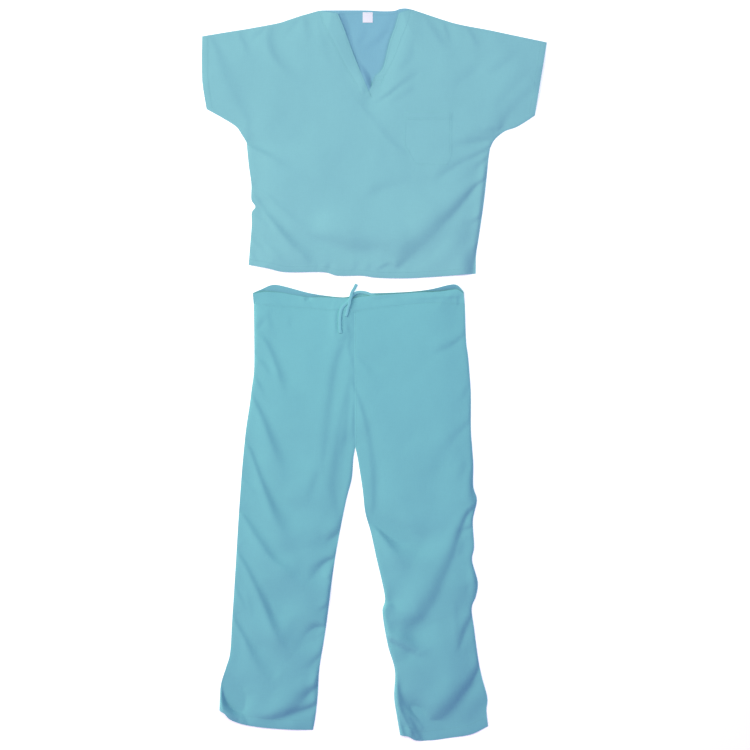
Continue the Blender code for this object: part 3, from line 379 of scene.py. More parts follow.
TROUSER_FOLDS = [
    # Hip on the wearer's right
    [(-306, 104, 4, 10), (-296, 103, 4, 16), (-275, 88, 5, 30), (-256, 53, 6, 32),
     (-241, 15, 7, 36), (-232, -12, 9, 28), (-214, -55, 12, 0)],
    [(-306, 48, 4, 20), (-299, 44, 4, 34), (-279, 28, 5, 30), (-261, -2, 5, 11),
     (-256, -14, 5, 0)],
    [(-304, 0, 4, 20), (-299, -9, 4, 32), (-285, -31, 4, 26), (-273, -60, 5, 0)],
    [(-270, 142, 5, 0), (-280, 134, 5, 14), (-292, 120, 5, 16), (-298, 110, 4, 0)],
    [(-268, 165, 5, 0), (-266, 150, 5, 12), (-259, 125, 5, 12), (-256, 108, 5, 0)],
    [(-214, 150, 6, 0), (-212, 130, 6, 9), (-211, 110, 6, 0)],
    # Leg on the wearer's right
    [(-312, -48, 4, 20), (-304, -58, 4, 38), (-293, -77, 5, 42), (-273, -121, 7, 42),
     (-255, -168, 9, 38), (-237, -208, 12, 24), (-215, -250, 14, 0)],
    [(-328, -166, 3, 20), (-320, -173, 3, 40), (-309, -190, 4, 44), (-286, -254, 5, 47),
     (-259, -319, 8, 47), (-244, -352, 12, 40), (-228, -378, 16, 28), (-210, -406, 20, 12),
     (-195, -434, 20, 0)],
    [(-332, -262, 4, 20), (-320, -272, 4, 26), (-305, -285, 5, 15), (-292, -298, 5, 0)],
    [(-345, -340, 3, 20), (-337, -345, 3, 40), (-323, -357, 5, 44), (-292, -405, 8, 48),
     (-265, -444, 8, 48), (-247, -464, 9, 46), (-219, -485, 12, 38), (-196, -504, 13, 26),
     (-180, -518, 12, 10), (-168, -530, 10, 0)],
    [(-95, -456, 4, 20), (-103, -458, 4, 38), (-121, -465, 5, 40), (-138, -478, 8, 37),
     (-154, -494, 12, 30), (-170, -516, 14, 13), (-184, -538, 12, 0)],
    [(-82, -388, 8, 24), (-95, -398, 9, 36), (-112, -408, 8, 28), (-126, -414, 7, 0)],
    [(-349, -438, 3, 20), (-342, -446, 4, 40), (-321, -478, 5, 44), (-295, -530, 6, 47),
     (-270, -582, 8, 52), (-258, -611, 9, 52), (-245, -639, 12, 44), (-230, -665, 15, 30),
     (-215, -690, 13, 12), (-205, -706, 10, 0)],
    [(-118, -631, 4, 20), (-127, -629, 5, 40), (-140, -628, 7, 44), (-155, -634, 9, 38),
     (-172, -647, 12, 27), (-188, -664, 14, 19), (-202, -686, 12, 8), (-209, -705, 9, 0)],
    [(-178, -612, 20, 0), (-184, -588, 30, 10), (-194, -556, 34, 16), (-206, -530, 26, 10),
     (-208, -505, 20, 0)],
    [(-122, -642, 3, 10), (-130, -648, 4, 15), (-142, -655, 4, 12), (-152, -660, 4, 0)],
    [(-118, -575, 3, 20), (-128, -583, 4, 22), (-138, -587, 4, 12), (-146, -589, 4, 0)],
    [(-110, -505, 3, 20), (-118, -510, 5, 20), (-128, -505, 5, 10), (-134, -500, 5, 0)],
    [(-134, -700, 4, 25), (-142, -706, 5, 25), (-165, -728, 6, 11), (-174, -738, 6, 0)],
    [(-356, -604, 3, 20), (-350, -612, 4, 38), (-327, -652, 5, 42), (-315, -675, 7, 44),
     (-292, -717, 12, 26), (-262, -762, 12, 12), (-245, -770, 10, 0)],
    [(-350, -534, 3, 20), (-345, -540, 3, 30), (-329, -568, 4, 22), (-318, -598, 4, 0)],
    [(-322, -540, 4, 0), (-316, -558, 4, 12), (-308, -585, 4, 12), (-302, -605, 4, 0)],
    [(-389, -750, 5, 20), (-387, -780, 7, 60), (-383, -806, 9, 80), (-374, -828, 10, 80),
     (-360, -842, 10, 68), (-342, -854, 8, 50), (-326, -866, 6, 34), (-316, -878, 4, 0)],
    [(-381, -762, 8, 0), (-377, -794, 12, 40), (-369, -820, 13, 46), (-353, -841, 11, 34),
     (-336, -857, 8, 0)],
    [(-138, -768, 5, 30), (-149, -780, 6, 48), (-165, -792, 8, 41), (-184, -810, 10, 27),
     (-199, -827, 11, 18), (-217, -843, 11, 12), (-230, -852, 10, 0)],
    [(-136, -738, 3, 0), (-140, -760, 4, 60), (-143, -785, 4, 60), (-146, -806, 4, 20),
     (-148, -822, 3, 0)],
    [(-140, -822, 4, 34), (-150, -826, 5, 44), (-172, -834, 6, 42), (-195, -840, 8, 38),
     (-219, -847, 9, 42), (-243, -855, 8, 42), (-264, -858, 6, 36), (-293, -855, 5, 16),
     (-317, -848, 5, 0)],
    [(-338, -846, 3, 0), (-330, -856, 3, 25), (-321, -867, 3, 20), (-315, -876, 3, 0)],
    # Where folds meet
    [(-178, -442, 14, 0), (-182, -465, 18, 15), (-186, -490, 16, 14), (-190, -512, 12, 0)],
    [(-130, -590, 14, 0), (-132, -560, 20, 12), (-136, -530, 20, 10), (-140, -506, 14, 0)],
    [(-208, -602, 12, 0), (-208, -624, 15, 16), (-208, -648, 14, 14), (-208, -672, 12, 0)],
    [(292, -775, 15, 0), (272, -812, 20, 10), (232, -850, 22, 14), (182, -878, 20, 14),
     (132, -896, 16, 0)],
    [(138, -592, 18, 0), (116, -606, 20, 14), (90, -620, 24, 18), (62, -634, 22, 17),
     (44, -654, 18, 16), (32, -680, 12, 0)],
    [(-262, 200, 24, 8), (-258, 150, 28, 12), (-258, 80, 28, 11), (-262, 10, 24, 9),
     (-270, -50, 22, 6), (-282, -110, 20, 0)],
    [(102, -585, 22, 0), (100, -555, 26, 7), (100, -520, 26, 8), (102, -485, 20, 0)],
    [(78, -350, 36, 0), (78, -290, 46, 4), (84, -220, 46, 6), (90, -150, 36, 0)],
    [(184, -370, 20, 0), (188, -320, 26, 12), (196, -250, 26, 13), (206, -190, 20, 0)],
    [(-150, -345, 30, 0), (-150, -285, 34, 6), (-145, -220, 34, 6), (-135, -160, 28, 0)],
    [(-214, -345, 18, 0), (-220, -305, 20, 8), (-224, -262, 18, 0)],
    [(-80, -350, 12, 0), (-75, -300, 14, 12), (-66, -235, 13, 14), (-58, -185, 10, 9),
     (-54, -150, 8, 0)],
    # Crotch
    [(-66, 104, 5, 0), (-75, 88, 6, 12), (-99, 24, 7, 17), (-111, -55, 8, 16),
     (-123, -154, 8, 13), (-127, -196, 6, 13), (-140, -245, 6, 0)],
    [(-140, -235, 8, 0), (-148, -255, 8, 12), (-164, -307, 8, 6), (-168, -330, 8, 0)],
    [(-56, 5, 4, 0), (-61, -16, 5, 12), (-80, -90, 6, 13), (-92, -160, 7, 12),
     (-103, -244, 7, 9), (-106, -280, 7, 9), (-93, -345, 8, 10), (-85, -375, 8, 6)],
    [(-60, -40, 4, 0), (-66, -71, 5, 12), (-74, -150, 5, 14), (-86, -215, 5, 0)],
    [(-52, -60, 2, 0), (-53, -95, 2, 22), (-54, -140, 2, 22), (-52, -165, 2, 0)],
    [(-56, -10, 3, 0), (-50, -32, 3, 18), (-27, -98, 4, 23), (-12, -170, 6, 21),
     (-3, -245, 7, 23), (-2, -320, 6, 23), (-4, -350, 5, 20), (-8, -372, 4, 0)],
    [(-50, 55, 4, 0), (-42, 42, 4, 15), (-16, 14, 6, 13), (-8, -2, 6, 0)],
    [(-70, 125, 3, 0), (-66, 117, 4, 20), (-60, 95, 3, 14), (-64, 68, 4, 18), (-57, 40, 3, 18),
     (-54, 10, 3, 0)],
    # Beside the tape
    [(-82, 178, 2, 0), (-89, 166, 3, 24), (-94, 150, 3, 28), (-95, 130, 3, 28),
     (-94, 108, 3, 22), (-93, 92, 2, 0)],
    # Hip and leg on the wearer's left
    [(228, 104, 4, 10), (220, 97, 4, 16), (196, 78, 5, 19), (165, 63, 6, 15), (140, 55, 6, 0)],
    [(236, -20, 4, 0), (231, -32, 4, 11), (226, -48, 5, 11), (224, -62, 5, 0)],
    [(244, -112, 5, 10), (232, -123, 5, 13), (199, -153, 7, 10), (174, -193, 12, 6),
     (146, -241, 18, 3), (105, -291, 25, 0)],
    [(228, -205, 6, 0), (223, -225, 7, 11), (214, -250, 8, 10), (206, -272, 8, 0)],
    [(243, -235, 5, 0), (243, -258, 6, 20), (244, -298, 7, 36), (248, -330, 5, 10)],
    [(256, -328, 3, 30), (248, -332, 3, 40), (237, -341, 4, 42), (226, -357, 4, 42),
     (209, -402, 6, 36), (192, -452, 9, 29), (169, -504, 12, 24), (149, -553, 12, 20),
     (123, -598, 14, 18), (103, -612, 12, 16), (55, -616, 12, 0)],
    [(248, -380, 3, 20), (238, -382, 4, 26), (226, -386, 4, 22), (216, -390, 4, 0)],
    [(222, -405, 6, 0), (219, -425, 7, 15), (214, -445, 7, 12), (210, -462, 7, 0)],
    [(0, -380, 5, 44), (13, -391, 7, 72), (26, -405, 9, 78), (38, -419, 11, 70),
     (50, -434, 13, 56), (64, -450, 14, 36), (80, -466, 14, 14), (94, -478, 12, 0)],
    [(80, -400, 12, 0), (86, -422, 22, 15), (94, -448, 24, 19), (104, -474, 16, 0)],
    [(64, -402, 18, 0), (64, -376, 24, 10), (68, -346, 24, 9), (74, -318, 18, 0)],
    [(22, -570, 3, 20), (30, -573, 4, 32), (41, -576, 4, 32), (57, -594, 4, 0)],
    [(24, -528, 8, 0), (30, -556, 14, 20), (36, -588, 14, 18), (40, -612, 8, 0)],
    [(56, -640, 12, 0), (66, -662, 18, 32), (80, -684, 18, 33), (90, -704, 12, 0)],
    [(24, -600, 3, 20), (31, -609, 3, 26), (37, -618, 3, 0)],
    [(140, -706, 9, 0), (120, -702, 9, 18), (103, -697, 8, 38), (88, -689, 8, 54),
     (72, -680, 8, 60), (54, -671, 7, 66), (39, -663, 6, 56), (28, -657, 5, 30)],
    [(30, -615, 5, 0), (36, -630, 7, 15), (44, -648, 8, 15), (55, -662, 8, 0)],
    [(247, -596, 4, 20), (241, -606, 5, 30), (225, -635, 6, 30), (212, -675, 4, 20),
     (210, -695, 4, 0)],
    [(204, -560, 5, 0), (205, -590, 5, 8), (206, -640, 5, 8), (207, -670, 5, 0)],
    [(248, -468, 4, 0), (254, -490, 5, 40), (257, -515, 6, 52), (256, -536, 6, 42),
     (251, -552, 4, 22), (247, -568, 4, 0)],
    [(236, -515, 5, 0), (230, -532, 6, 7), (226, -548, 6, 0)],
    [(268, -724, 5, 26), (260, -734, 6, 38), (241, -767, 10, 44), (214, -800, 14, 43),
     (189, -830, 16, 40), (165, -854, 16, 40), (149, -868, 14, 42), (133, -880, 12, 38),
     (117, -892, 11, 22), (104, -904, 8, 4)],
    [(250, -705, 14, 0), (222, -735, 22, 14), (196, -765, 22, 12), (170, -790, 16, 0)],
    [(200, -705, 36, 0), (150, -750, 36, 8), (104, -794, 32, 13), (74, -835, 24, 11),
     (62, -865, 18, 0)],
    [(49, -725, 3, 20), (52, -752, 4, 50), (57, -780, 5, 60), (63, -802, 5, 52),
     (73, -822, 6, 52), (87, -841, 6, 50), (104, -854, 7, 44), (122, -864, 7, 20),
     (134, -870, 6, 0)],
    [(56, -800, 3, 20), (62, -822, 4, 66), (71, -844, 5, 76), (82, -868, 5, 76),
     (92, -888, 5, 66), (100, -908, 4, 20)],
    [(82, -824, 4, 0), (95, -844, 6, 54), (108, -862, 7, 66), (120, -879, 7, 56),
     (131, -894, 5, 0)],
    [(78, -838, 4, 0), (89, -858, 5, 62), (101, -880, 6, 72), (110, -899, 5, 40)],
    [(72, -826, 12, 0), (84, -852, 20, 16), (94, -882, 20, 18), (102, -906, 14, 8)],
    [(57, -840, 3, 20), (61, -862, 4, 70), (67, -882, 5, 80), (75, -897, 4, 60),
     (84, -907, 3, 0)],
    [(122, -866, 4, 0), (134, -873, 5, 36), (146, -882, 6, 38), (156, -891, 5, 25),
     (164, -899, 4, 0)],
]

# Where the cloth stands up: x, y, how far it spreads and how high. The V edge stands up off the
# back, most at its foot on the wearer's right, and beside the seam of the other half.
NECK_RISES = [
    [(-92, 902, 30, 3.0), (-84, 884, 30, 4.0), (-72, 852, 28, 3.2), (-60, 820, 28, 1.4),
     (-48, 786, 28, 1.5), (-34, 754, 26, 4.4), (-24, 730, 24, 6.0), (-15, 708, 22, 2.6),
     (-10, 690, 18, 0)],
    [(94, 890, 22, 1.0), (84, 850, 22, 1.3), (66, 800, 22, 1.3), (48, 760, 20, 1.0),
     (30, 735, 16, 0)],
    [(256, 336, 15, 0), (246, 316, 20, 2), (230, 290, 24, 3.8), (224, 268, 24, 3.8),
     (222, 246, 20, 3)],
]
# The back under the V climbs to the front's edge: x, y, in what reach and how high
V_SLOPE = [(-92, 902, 15, 3.2), (-84, 884, 15, 3.4), (-72, 852, 13, 2.8), (-60, 820, 8, 1.2),
           (-50, 795, 6, 0.5), (-40, 770, 12, 3.0), (-27, 740, 18, 9.0), (-20, 722, 14, 9.0),
           (-15, 712, 12, 9.0)]
# Creases of the back under the V
BACK_SLOPES = [
    [(58, 905, 2, 0), (49, 870, 2, 20), (37, 837, 2, 20), (29, 806, 2, 16), (21, 774, 2, 12),
     (13, 757, 2, 0)],
    [(44, 872, 5, 0), (34, 862, 5, 14), (20, 848, 6, 16), (4, 832, 6, 14), (-12, 822, 6, 12),
     (-28, 812, 6, 0)],
    [(52, 890, 5, 0), (40, 884, 5, 12), (28, 880, 5, 8), (14, 878, 5, 0)],
    [(-20, 868, 6, 0), (-26, 850, 6, 10), (-34, 838, 6, 10), (-40, 820, 5, 0)],
]
# The front of the casing stands clear of the tape that comes out under it, and the cloth lies
# raised under the tape's free ends.
TAPE_RISES = [
    [(-34, 190, 20, 0.6), (-5, 196, 20, 1.0), (30, 199, 20, 0.6)],
    [(-56, 200, 22, 0.2), (-62, 190, 26, 1.6), (-68, 178, 28, 2.8), (-76, 167, 28, 3.2),
     (-82, 152, 28, 3.6), (-86, 130, 28, 3.8), (-85, 100, 26, 3.0), (-84, 82, 22, 1.0)],
    [(-392, -765, 14, 0), (-390, -795, 17, 5.0), (-384, -820, 18, 6.0), (-366, -845, 16, 5.0),
     (-340, -860, 12, 0)],
    [(26, -638, 14, 0), (44, -650, 20, 3.5), (66, -662, 22, 4.5), (88, -679, 20, 3.5),
     (104, -692, 14, 0)],
    [(48, -720, 24, 0), (50, -760, 30, 2.5), (56, -800, 32, 4.0), (63, -835, 30, 4.5),
     (72, -868, 26, 4.5), (82, -895, 20, 3.0)],
]

# Creases along the casing, and the cloth that it draws in beside the tape
CASING_FOLDS = [
    [(218, 192, 2, 0), (200, 192, 2, 24), (160, 191, 2.5, 30), (110, 187, 3, 20), (70, 185, 3, 0)],
    [(196, 183, 2, 0), (160, 183, 2, 16), (110, 180, 2.5, 14), (60, 178, 3, 0)],
    [(208, 200, 2, 0), (208, 190, 2, 24), (208, 176, 2, 20), (207, 166, 2, 0)],
    [(60, 197, 3, 0), (30, 193, 4, 16), (4, 190, 4, 16), (-18, 188, 4, 0)],
    [(-92, 188, 3, 0), (-96, 178, 4, 16), (-100, 164, 4, 14), (-100, 150, 4, 0)],
    [(-106, 190, 3, 0), (-110, 180, 3, 12), (-113, 168, 3, 0)],
    [(-170, 194, 3, 0), (-170, 188, 4, 26), (-167, 182, 4, 0)],
]

# Drawstring: middle line of the flat tape, from where it leaves the trousers to its free end
LONG_END_ROUTE = [(10, 190, 3.2), (-1, 196, 3.1), (-13, 201, 3.0), (-23, 204.5, 2.9),
                  (-36, 206, 2.9), (-47, 203.5, 4.4), (-55, 197, 7.1), (-61, 188, 9.0),
                  (-69, 178.5, 10.6), (-77, 171, 11.5), (-82.5, 163, 11.8), (-85, 153, 12.2),
                  (-86, 143, 12.5), (-86.5, 130, 12.9), (-86, 116, 13.1), (-85, 103, 13.1)]
SHORT_END_ROUTE = [(-72, 145, 11.9), (-69, 153, 11.8), (-66.5, 164.5, 12.3), (-63, 175, 13.5),
                   (-61.5, 184, 13.5), (-59, 194.5, 12.2), (-56, 205, 8.4), (-50.5, 215, 4.0),
                   (-45, 226, 1.6)]


# Lines and patches, in millimetres

def spaced(length, pitch, first=(), last=()):
    """Shares of a length: even steps of about a pitch, after and before closer ones."""
    head = [0.0, *first]
    tail = [length - step for step in reversed(last)] + [length]
    count = max(round((tail[0] - head[-1]) / pitch), 1)
    middle = np.linspace(head[-1], tail[0], count + 1)[1:-1]
    return np.concatenate([head, middle, tail]) / length


def run_along(line):
    """How far along a line each of its points lies."""
    return np.concatenate([[0], np.cumsum(np.linalg.norm(np.diff(line, axis=0), axis=1))])


def smooth_line(points, shares):
    """Points at shares of the length of a Catmull-Rom line through the given ones."""
    points = np.array(points, dtype=float)
    if len(points) == 2:
        return points[0] + shares[:, None] * (points[1] - points[0])
    padded = np.vstack([2 * points[0] - points[1], points, 2 * points[-1] - points[-2]])
    u = np.linspace(0, 1, 24, endpoint=False)[:, None]
    fine = []
    for a, b, c, d in zip(padded, padded[1:], padded[2:], padded[3:]):
        fine.append(0.5 * (2 * b + (c - a) * u + (2 * a - 5 * b + 4 * c - d) * u ** 2
                           + (3 * b - a - 3 * c + d) * u ** 3))
    fine = np.vstack(fine + [points[-1:]])
    run = run_along(fine)
    wanted = shares * run[-1]
    return np.column_stack([np.interp(wanted, run, fine[:, k]) for k in range(fine.shape[1])])


def edge(arcs, *shares):
    """The mesh points of an edge of one or more arcs, end to end."""
    lines = [smooth_line(arc.points, part) for arc, part in zip(arcs, shares)]
    return np.vstack([lines[0]] + [line[1:] for line in lines[1:]])


def finely(*runs, parts=6):
    """The points of runs of arcs at an even, finer step than the solid's."""
    arcs = [arc for run in runs for arc in run]
    return edge(arcs, *[np.linspace(0, 1, arc.steps * parts + 1) for arc in arcs])


def joined(marks, *shares):
    """Shares of a whole from the shares of its runs, which end at the marks."""
    parts = [low + (high - low) * run for low, high, run in zip(marks, marks[1:], shares)]
    return np.concatenate([parts[0]] + [part[1:] for part in parts[1:]])


def patch(bottom, top, left, right, s, t):
    """A Coons patch: rows of points between a bottom and a top edge and two side edges."""
    s = s[None, :, None]
    t = t[:, None, None]
    across = (1 - s) * left[:, None] + s * right[:, None]
    along = (1 - t) * bottom[None] + t * top[None]
    corners = ((1 - s) * (1 - t) * bottom[0] + s * (1 - t) * bottom[-1]
               + (1 - s) * t * top[0] + s * t * top[-1])
    return across + along - corners


def even(count):
    """Shares of a length in a count of even steps."""
    return np.linspace(0, 1, count + 1)


def strip(lower, upper, s, t):
    """A patch between two lines, with straight ends."""
    ends = [smooth_line([lower[k], upper[k]], t) for k in (0, -1)]
    return patch(lower, upper, *ends, s, t)


def table_line(rows):
    """A smooth line through the rows of a table, its further columns with it."""
    return smooth_line(rows, even(FOLD_STEPS * (len(rows) - 1)))


def headings(line):
    """The direction of a line at each of its points."""
    heading = np.gradient(line, axis=0)
    return heading / np.linalg.norm(heading, axis=1)[:, None]


def inset(line, distance):
    """A line drawn beside another one, to its left as one walks along it."""
    heading = headings(line)
    return line + distance * np.column_stack([-heading[:, 1], heading[:, 0]])


# Heights of the cloth, in millimetres

def distance_to(line, xy):
    """How far places lie from a line."""
    nearest = np.full(len(xy), 1e9)
    for a, b in zip(line, line[1:]):
        run = b - a
        share = np.clip(((xy - a) @ run) / (run @ run), 0, 1)
        off = xy - (a + share[:, None] * run)
        nearest = np.minimum(nearest, off[:, 0] ** 2 + off[:, 1] ** 2)
    return np.sqrt(nearest)


def ease(x):
    """From 0 to 1, softly at both ends."""
    x = np.clip(x, 0, 1)
    return x * x * (3 - 2 * x)


def bell(x, width):
    """1 in the middle, falling softly to 0 beyond a width."""
    return np.exp(-(x / width) ** 2)


def beside(path, xy):
    """How far places lie to the left of a path and from it, and its further columns beside them.

    Stretches of the path that are nearly as close as the closest one share in the answer."""
    starts, runs = path[:-1, :2], np.diff(path[:, :2], axis=0)
    length = np.linalg.norm(runs, axis=1)
    off = xy[:, None] - starts
    share = np.clip((off * runs).sum(axis=2) / length ** 2, 0, 1)
    left = (runs[:, 0] * off[..., 1] - runs[:, 1] * off[..., 0]) / length
    reach = np.linalg.norm(off - share[..., None] * runs, axis=2)
    nearest = reach.min(axis=1)[:, None]
    weight = np.exp((nearest ** 2 - reach ** 2) / (2 * (2 + 0.35 * nearest) ** 2))
    weight /= weight.sum(axis=1)[:, None]
    columns = path[:-1, 2:] + share[..., None] * np.diff(path[:, 2:], axis=0)
    return ((weight * left).sum(axis=1), nearest[:, 0],
            (weight[..., None] * columns).sum(axis=1).T)


def near(path, xy, reach):
    """Which places lie within reach of the box around a path."""
    return np.all((xy > path[:, :2].min(axis=0) - reach)
                  & (xy < path[:, :2].max(axis=0) + reach), axis=1)


def fold_height(fold, xy):
    """One fold: a slope to the left, sharper on the side that it leans to, level beyond it."""
    path = table_line(np.array(fold) * FOLD_UNITS)
    path[:, 2:] = np.maximum(path[:, 2:], (2, 0))
    run = path[-1, :2] - path[0, :2]
    lean = np.clip(2 * run[0] / math.hypot(*run), -1, 1)
    close = near(path, xy, FOLD_REACH * path[:, 2].max())
    height = np.zeros(len(xy))
    across, reach, (width, slope) = beside(path, xy[close])
    width = FOLD_WIDTH * width * np.where(across > 0, LEFT_WIDTH + LEFT_LEAN * lean,
                                          RIGHT_WIDTH + RIGHT_LEAN * lean)
    span = np.maximum(FOLD_SPAN * width, LEAST_SPAN)
    height[close] = -FOLD_GAIN * slope * width * np.tanh(across / width) * bell(reach, span)
    return height


def rise_height(rise, xy):
    """A soft ridge along a line."""
    path = table_line(rise)
    close = near(path, xy, 3 * path[:, 2].max())
    height = np.zeros(len(xy))
    _, reach, (spread, amount) = beside(path, xy[close])
    height[close] = amount * bell(reach, spread)
    return height


def slope_height(slope, xy):
    """A surface that climbs to a line from its left hand and falls softly beyond it."""
    left, reach, (width, amount) = beside(table_line(slope), xy)
    return amount * np.where(left > 0, np.clip(1 - reach / width, 0, 1),
                             bell(reach, SLOPE_FALL))


def ripple(xy, size, height, seed):
    """Low uneven waves in cloth, of about the given size."""
    value = [noise.noise(Vector((x / size, y / size, seed))) for x, y in xy]
    return height * np.array(value)


def hem_band(distance, depth):
    """The turned-up hem: a step at its stitches and the groove that they pull in."""
    step = HEM_STEP * (1 - ease((distance - depth) / HEM_STEP_RUN + HEM_STEP_LEAD))
    return step - STITCH_GROOVE * bell(distance - depth + HEM_ROW, GROOVE_WIDTH)


class Cover:
    """The height of a front: a roll at its seams, a low crown, folds and hems."""

    def __init__(self, seams, hems, neck_edges, folds, rises, ripples):
        self.seams = seams
        self.hems = hems
        self.neck_edges = neck_edges
        self.folds = folds
        self.rises = rises
        self.ripples = ripples

    def __call__(self, xy):
        closed = np.min([distance_to(line, xy) for line in self.seams], axis=0)
        hems = [(distance_to(line, xy), depth, start) for line, depth, start in self.hems]
        hem = np.min([distance for distance, depth, _ in hems if depth], axis=0)
        opened = np.min([distance + start for distance, _, start in hems], axis=0)
        for line in self.neck_edges:
            opened = np.minimum(opened, distance_to(line, xy) + NECK_EDGE_START)
        crown = CROWN * (1 - bell(np.minimum(closed, opened), CROWN_REACH))
        height = SEAM_LOW + (FRONT_LEVEL - SEAM_LOW) * (1 - np.exp(-closed / SEAM_ROLL)) + crown
        relief = sum(fold_height(fold, xy) for fold in self.folds)
        relief = relief + sum(rise_height(rise, xy) for rise in self.rises)
        for size, amount, seed in self.ripples:
            relief = relief + ripple(xy, size, amount, seed)
        height += relief * (1 - np.exp(-closed / FOLD_FADE))
        height -= OPEN_DROP * np.exp(-hem / OPEN_ROLL)
        for distance, depth, _ in hems:
            if depth:
                height += hem_band(distance, depth)
        return LOWEST_FRONT + SETTLE * np.log1p(np.exp((height - LOWEST_FRONT) / SETTLE))


# Making pieces

def new_grid(name, places):
    """A sheet from a grid primitive moved to its places, with the cells that are not real cut."""
    rows, columns = places.shape[0] - 1, places.shape[1] - 1
    bpy.ops.object.select_all(action="DESELECT")
    bpy.ops.mesh.primitive_grid_add(x_subdivisions=columns, y_subdivisions=rows, size=2)
    piece = bpy.context.object
    piece.name = piece.data.name = name
    mesh = piece.data
    flat = np.empty(len(mesh.vertices) * 3)
    mesh.vertices.foreach_get("co", flat)
    flat = flat.reshape(-1, 3)
    column = np.rint((flat[:, 0] + 1) / 2 * columns).astype(int)
    row = np.rint((flat[:, 1] + 1) / 2 * rows).astype(int)
    placed = places[row, column] * MM
    cut = np.isnan(placed[:, 0])
    placed[cut] = 0
    mesh.vertices.foreach_set("co", placed.ravel())
    if cut.any():
        work = bmesh.new()
        work.from_mesh(mesh)
        work.verts.ensure_lookup_table()
        bmesh.ops.delete(work, geom=[work.verts[k] for k in np.flatnonzero(cut)],
                         context="VERTS")
        work.to_mesh(mesh)
        work.free()
    mesh.update()
    return piece


def alone(piece):
    """Selects one piece and nothing else, for the operators."""
    bpy.ops.object.select_all(action="DESELECT")
    bpy.context.view_layer.objects.active = piece
    piece.select_set(True)


def add_wall(piece, thickness):
    """Gives a sheet its thickness, downwards."""
    alone(piece)
    wall = piece.modifiers.new("thickness", "SOLIDIFY")
    wall.thickness = thickness * MM
    wall.offset = -1
    bpy.ops.object.modifier_apply(modifier=wall.name)


def cloth_piece(name, places, material, thickness=CLOTH_THICKNESS,
                flat=None):
    """A sheet of cloth at its places, which stands for the solid of its name."""
    piece = new_grid(name + "_cloth", places)
    if flat is None:
        flat = (np.nanmax(places, axis=(0, 1)) - np.nanmin(places, axis=(0, 1)))[:2]
    add_wall(piece, thickness)
    bpy.ops.object.shade_smooth_by_angle(angle=CLOTH_SMOOTH_ANGLE)
    piece.data.materials.append(material)
    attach(piece, "root")
    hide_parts(name)
    return piece


def lifted(plan, heights):
    """The places of a plan at their heights."""
    return np.dstack([plan, heights.reshape(plan.shape[:2])])


def over(plan, cover):
    """A plan lifted by a cover's height, with its missing cells kept."""
    flat = plan.reshape(-1, 2)
    heights = np.full(len(flat), np.nan)
    real = ~np.isnan(flat[:, 0])
    heights[real] = cover(flat[real])
    return lifted(plan, heights)


class Ground:
    """The upper surface of finished pieces, to lay smaller ones on."""

    def __init__(self, *pieces):
        points, faces = [], []
        for piece in pieces:
            start = len(points)
            points += [vertex.co for vertex in piece.data.vertices]
            faces += [[start + k for k in face.vertices] for face in piece.data.polygons]
        self.tree = BVHTree.FromPolygons(points, faces)

    def __call__(self, xy):
        """Heights at places, and not a number where nothing lies below."""
        heights = []
        for x, y in xy:
            hit = self.tree.ray_cast(Vector((x * MM, y * MM, 1)), Vector((0, 0, -1)))[0]
            heights.append(np.nan if hit is None else hit.z / MM)
        return np.array(heights)


def stitch_shape():
    """The points and faces of one stitch, lying along X."""
    bpy.ops.object.select_all(action="DESELECT")
    bpy.ops.mesh.primitive_uv_sphere_add(segments=6, ring_count=4, radius=1)
    bead = bpy.context.object
    points = np.array([vertex.co for vertex in bead.data.vertices])
    faces = [tuple(face.vertices) for face in bead.data.polygons]
    bpy.data.objects.remove(bead)
    return points * (STITCH_LENGTH / 2, STITCH_RADIUS, STITCH_RADIUS), faces


def thread_rows(name, lines, ground):
    """Rows of stitches laid on the ground along lines, as one joined piece."""
    shape, shape_faces = stitch_shape()
    points, faces = [], []
    for line in lines:
        run = run_along(line)
        count = int(run[-1] / STITCH_PITCH)
        where = (np.arange(count) + 0.5) * run[-1] / max(count, 1)
        ends = [np.column_stack([np.interp(where + shift, run, line[:, k]) for k in range(2)])
                for shift in (-STITCH_LENGTH / 2, STITCH_LENGTH / 2)]
        heights = [ground(end) for end in ends]
        for a, b, low, high in zip(*ends, *heights):
            if np.isnan(low) or np.isnan(high) or abs(high - low) > STITCH_LENGTH / 2:
                continue
            middle = np.array([*(a + b) / 2, (low + high) / 2 + STITCH_RADIUS * STITCH_SEAT])
            along = np.array([*(b - a), high - low])
            along /= np.linalg.norm(along)
            across = np.cross((0, 0, 1), along)
            across /= np.linalg.norm(across)
            turn = np.array([along, across, np.cross(along, across)])
            start = len(points) * len(shape)
            points.append(middle + shape @ turn)
            faces += [[start + k for k in face] for face in shape_faces]
    mesh = bpy.data.meshes.new(name)
    mesh.from_pydata((np.vstack(points) * MM).tolist(), [], faces)
    mesh.shade_smooth()
    mesh.materials.append(thread)
    piece = bpy.data.objects.new(name, mesh)
    bpy.context.scene.collection.objects.link(piece)
    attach(piece, "root")


# Materials

def new_material(name):
    """A new material, its node tree and its shader."""
    material = bpy.data.materials.new(name)
    material.use_nodes = True
    return material, material.node_tree, material.node_tree.nodes["Principled BSDF"]


def link(tree, source, target):
    tree.links.new(source, target)


def math_node(tree, operation, first, second=0.5, third=0.5):
    """The result of a sum on numbers or on other nodes' results."""
    node = tree.nodes.new("ShaderNodeMath")
    node.operation = operation
    for socket, value in zip(node.inputs, (first, second, third)):
        if isinstance(value, (int, float)):
            socket.default_value = value
        else:
            link(tree, value, socket)
    return node.outputs[0]


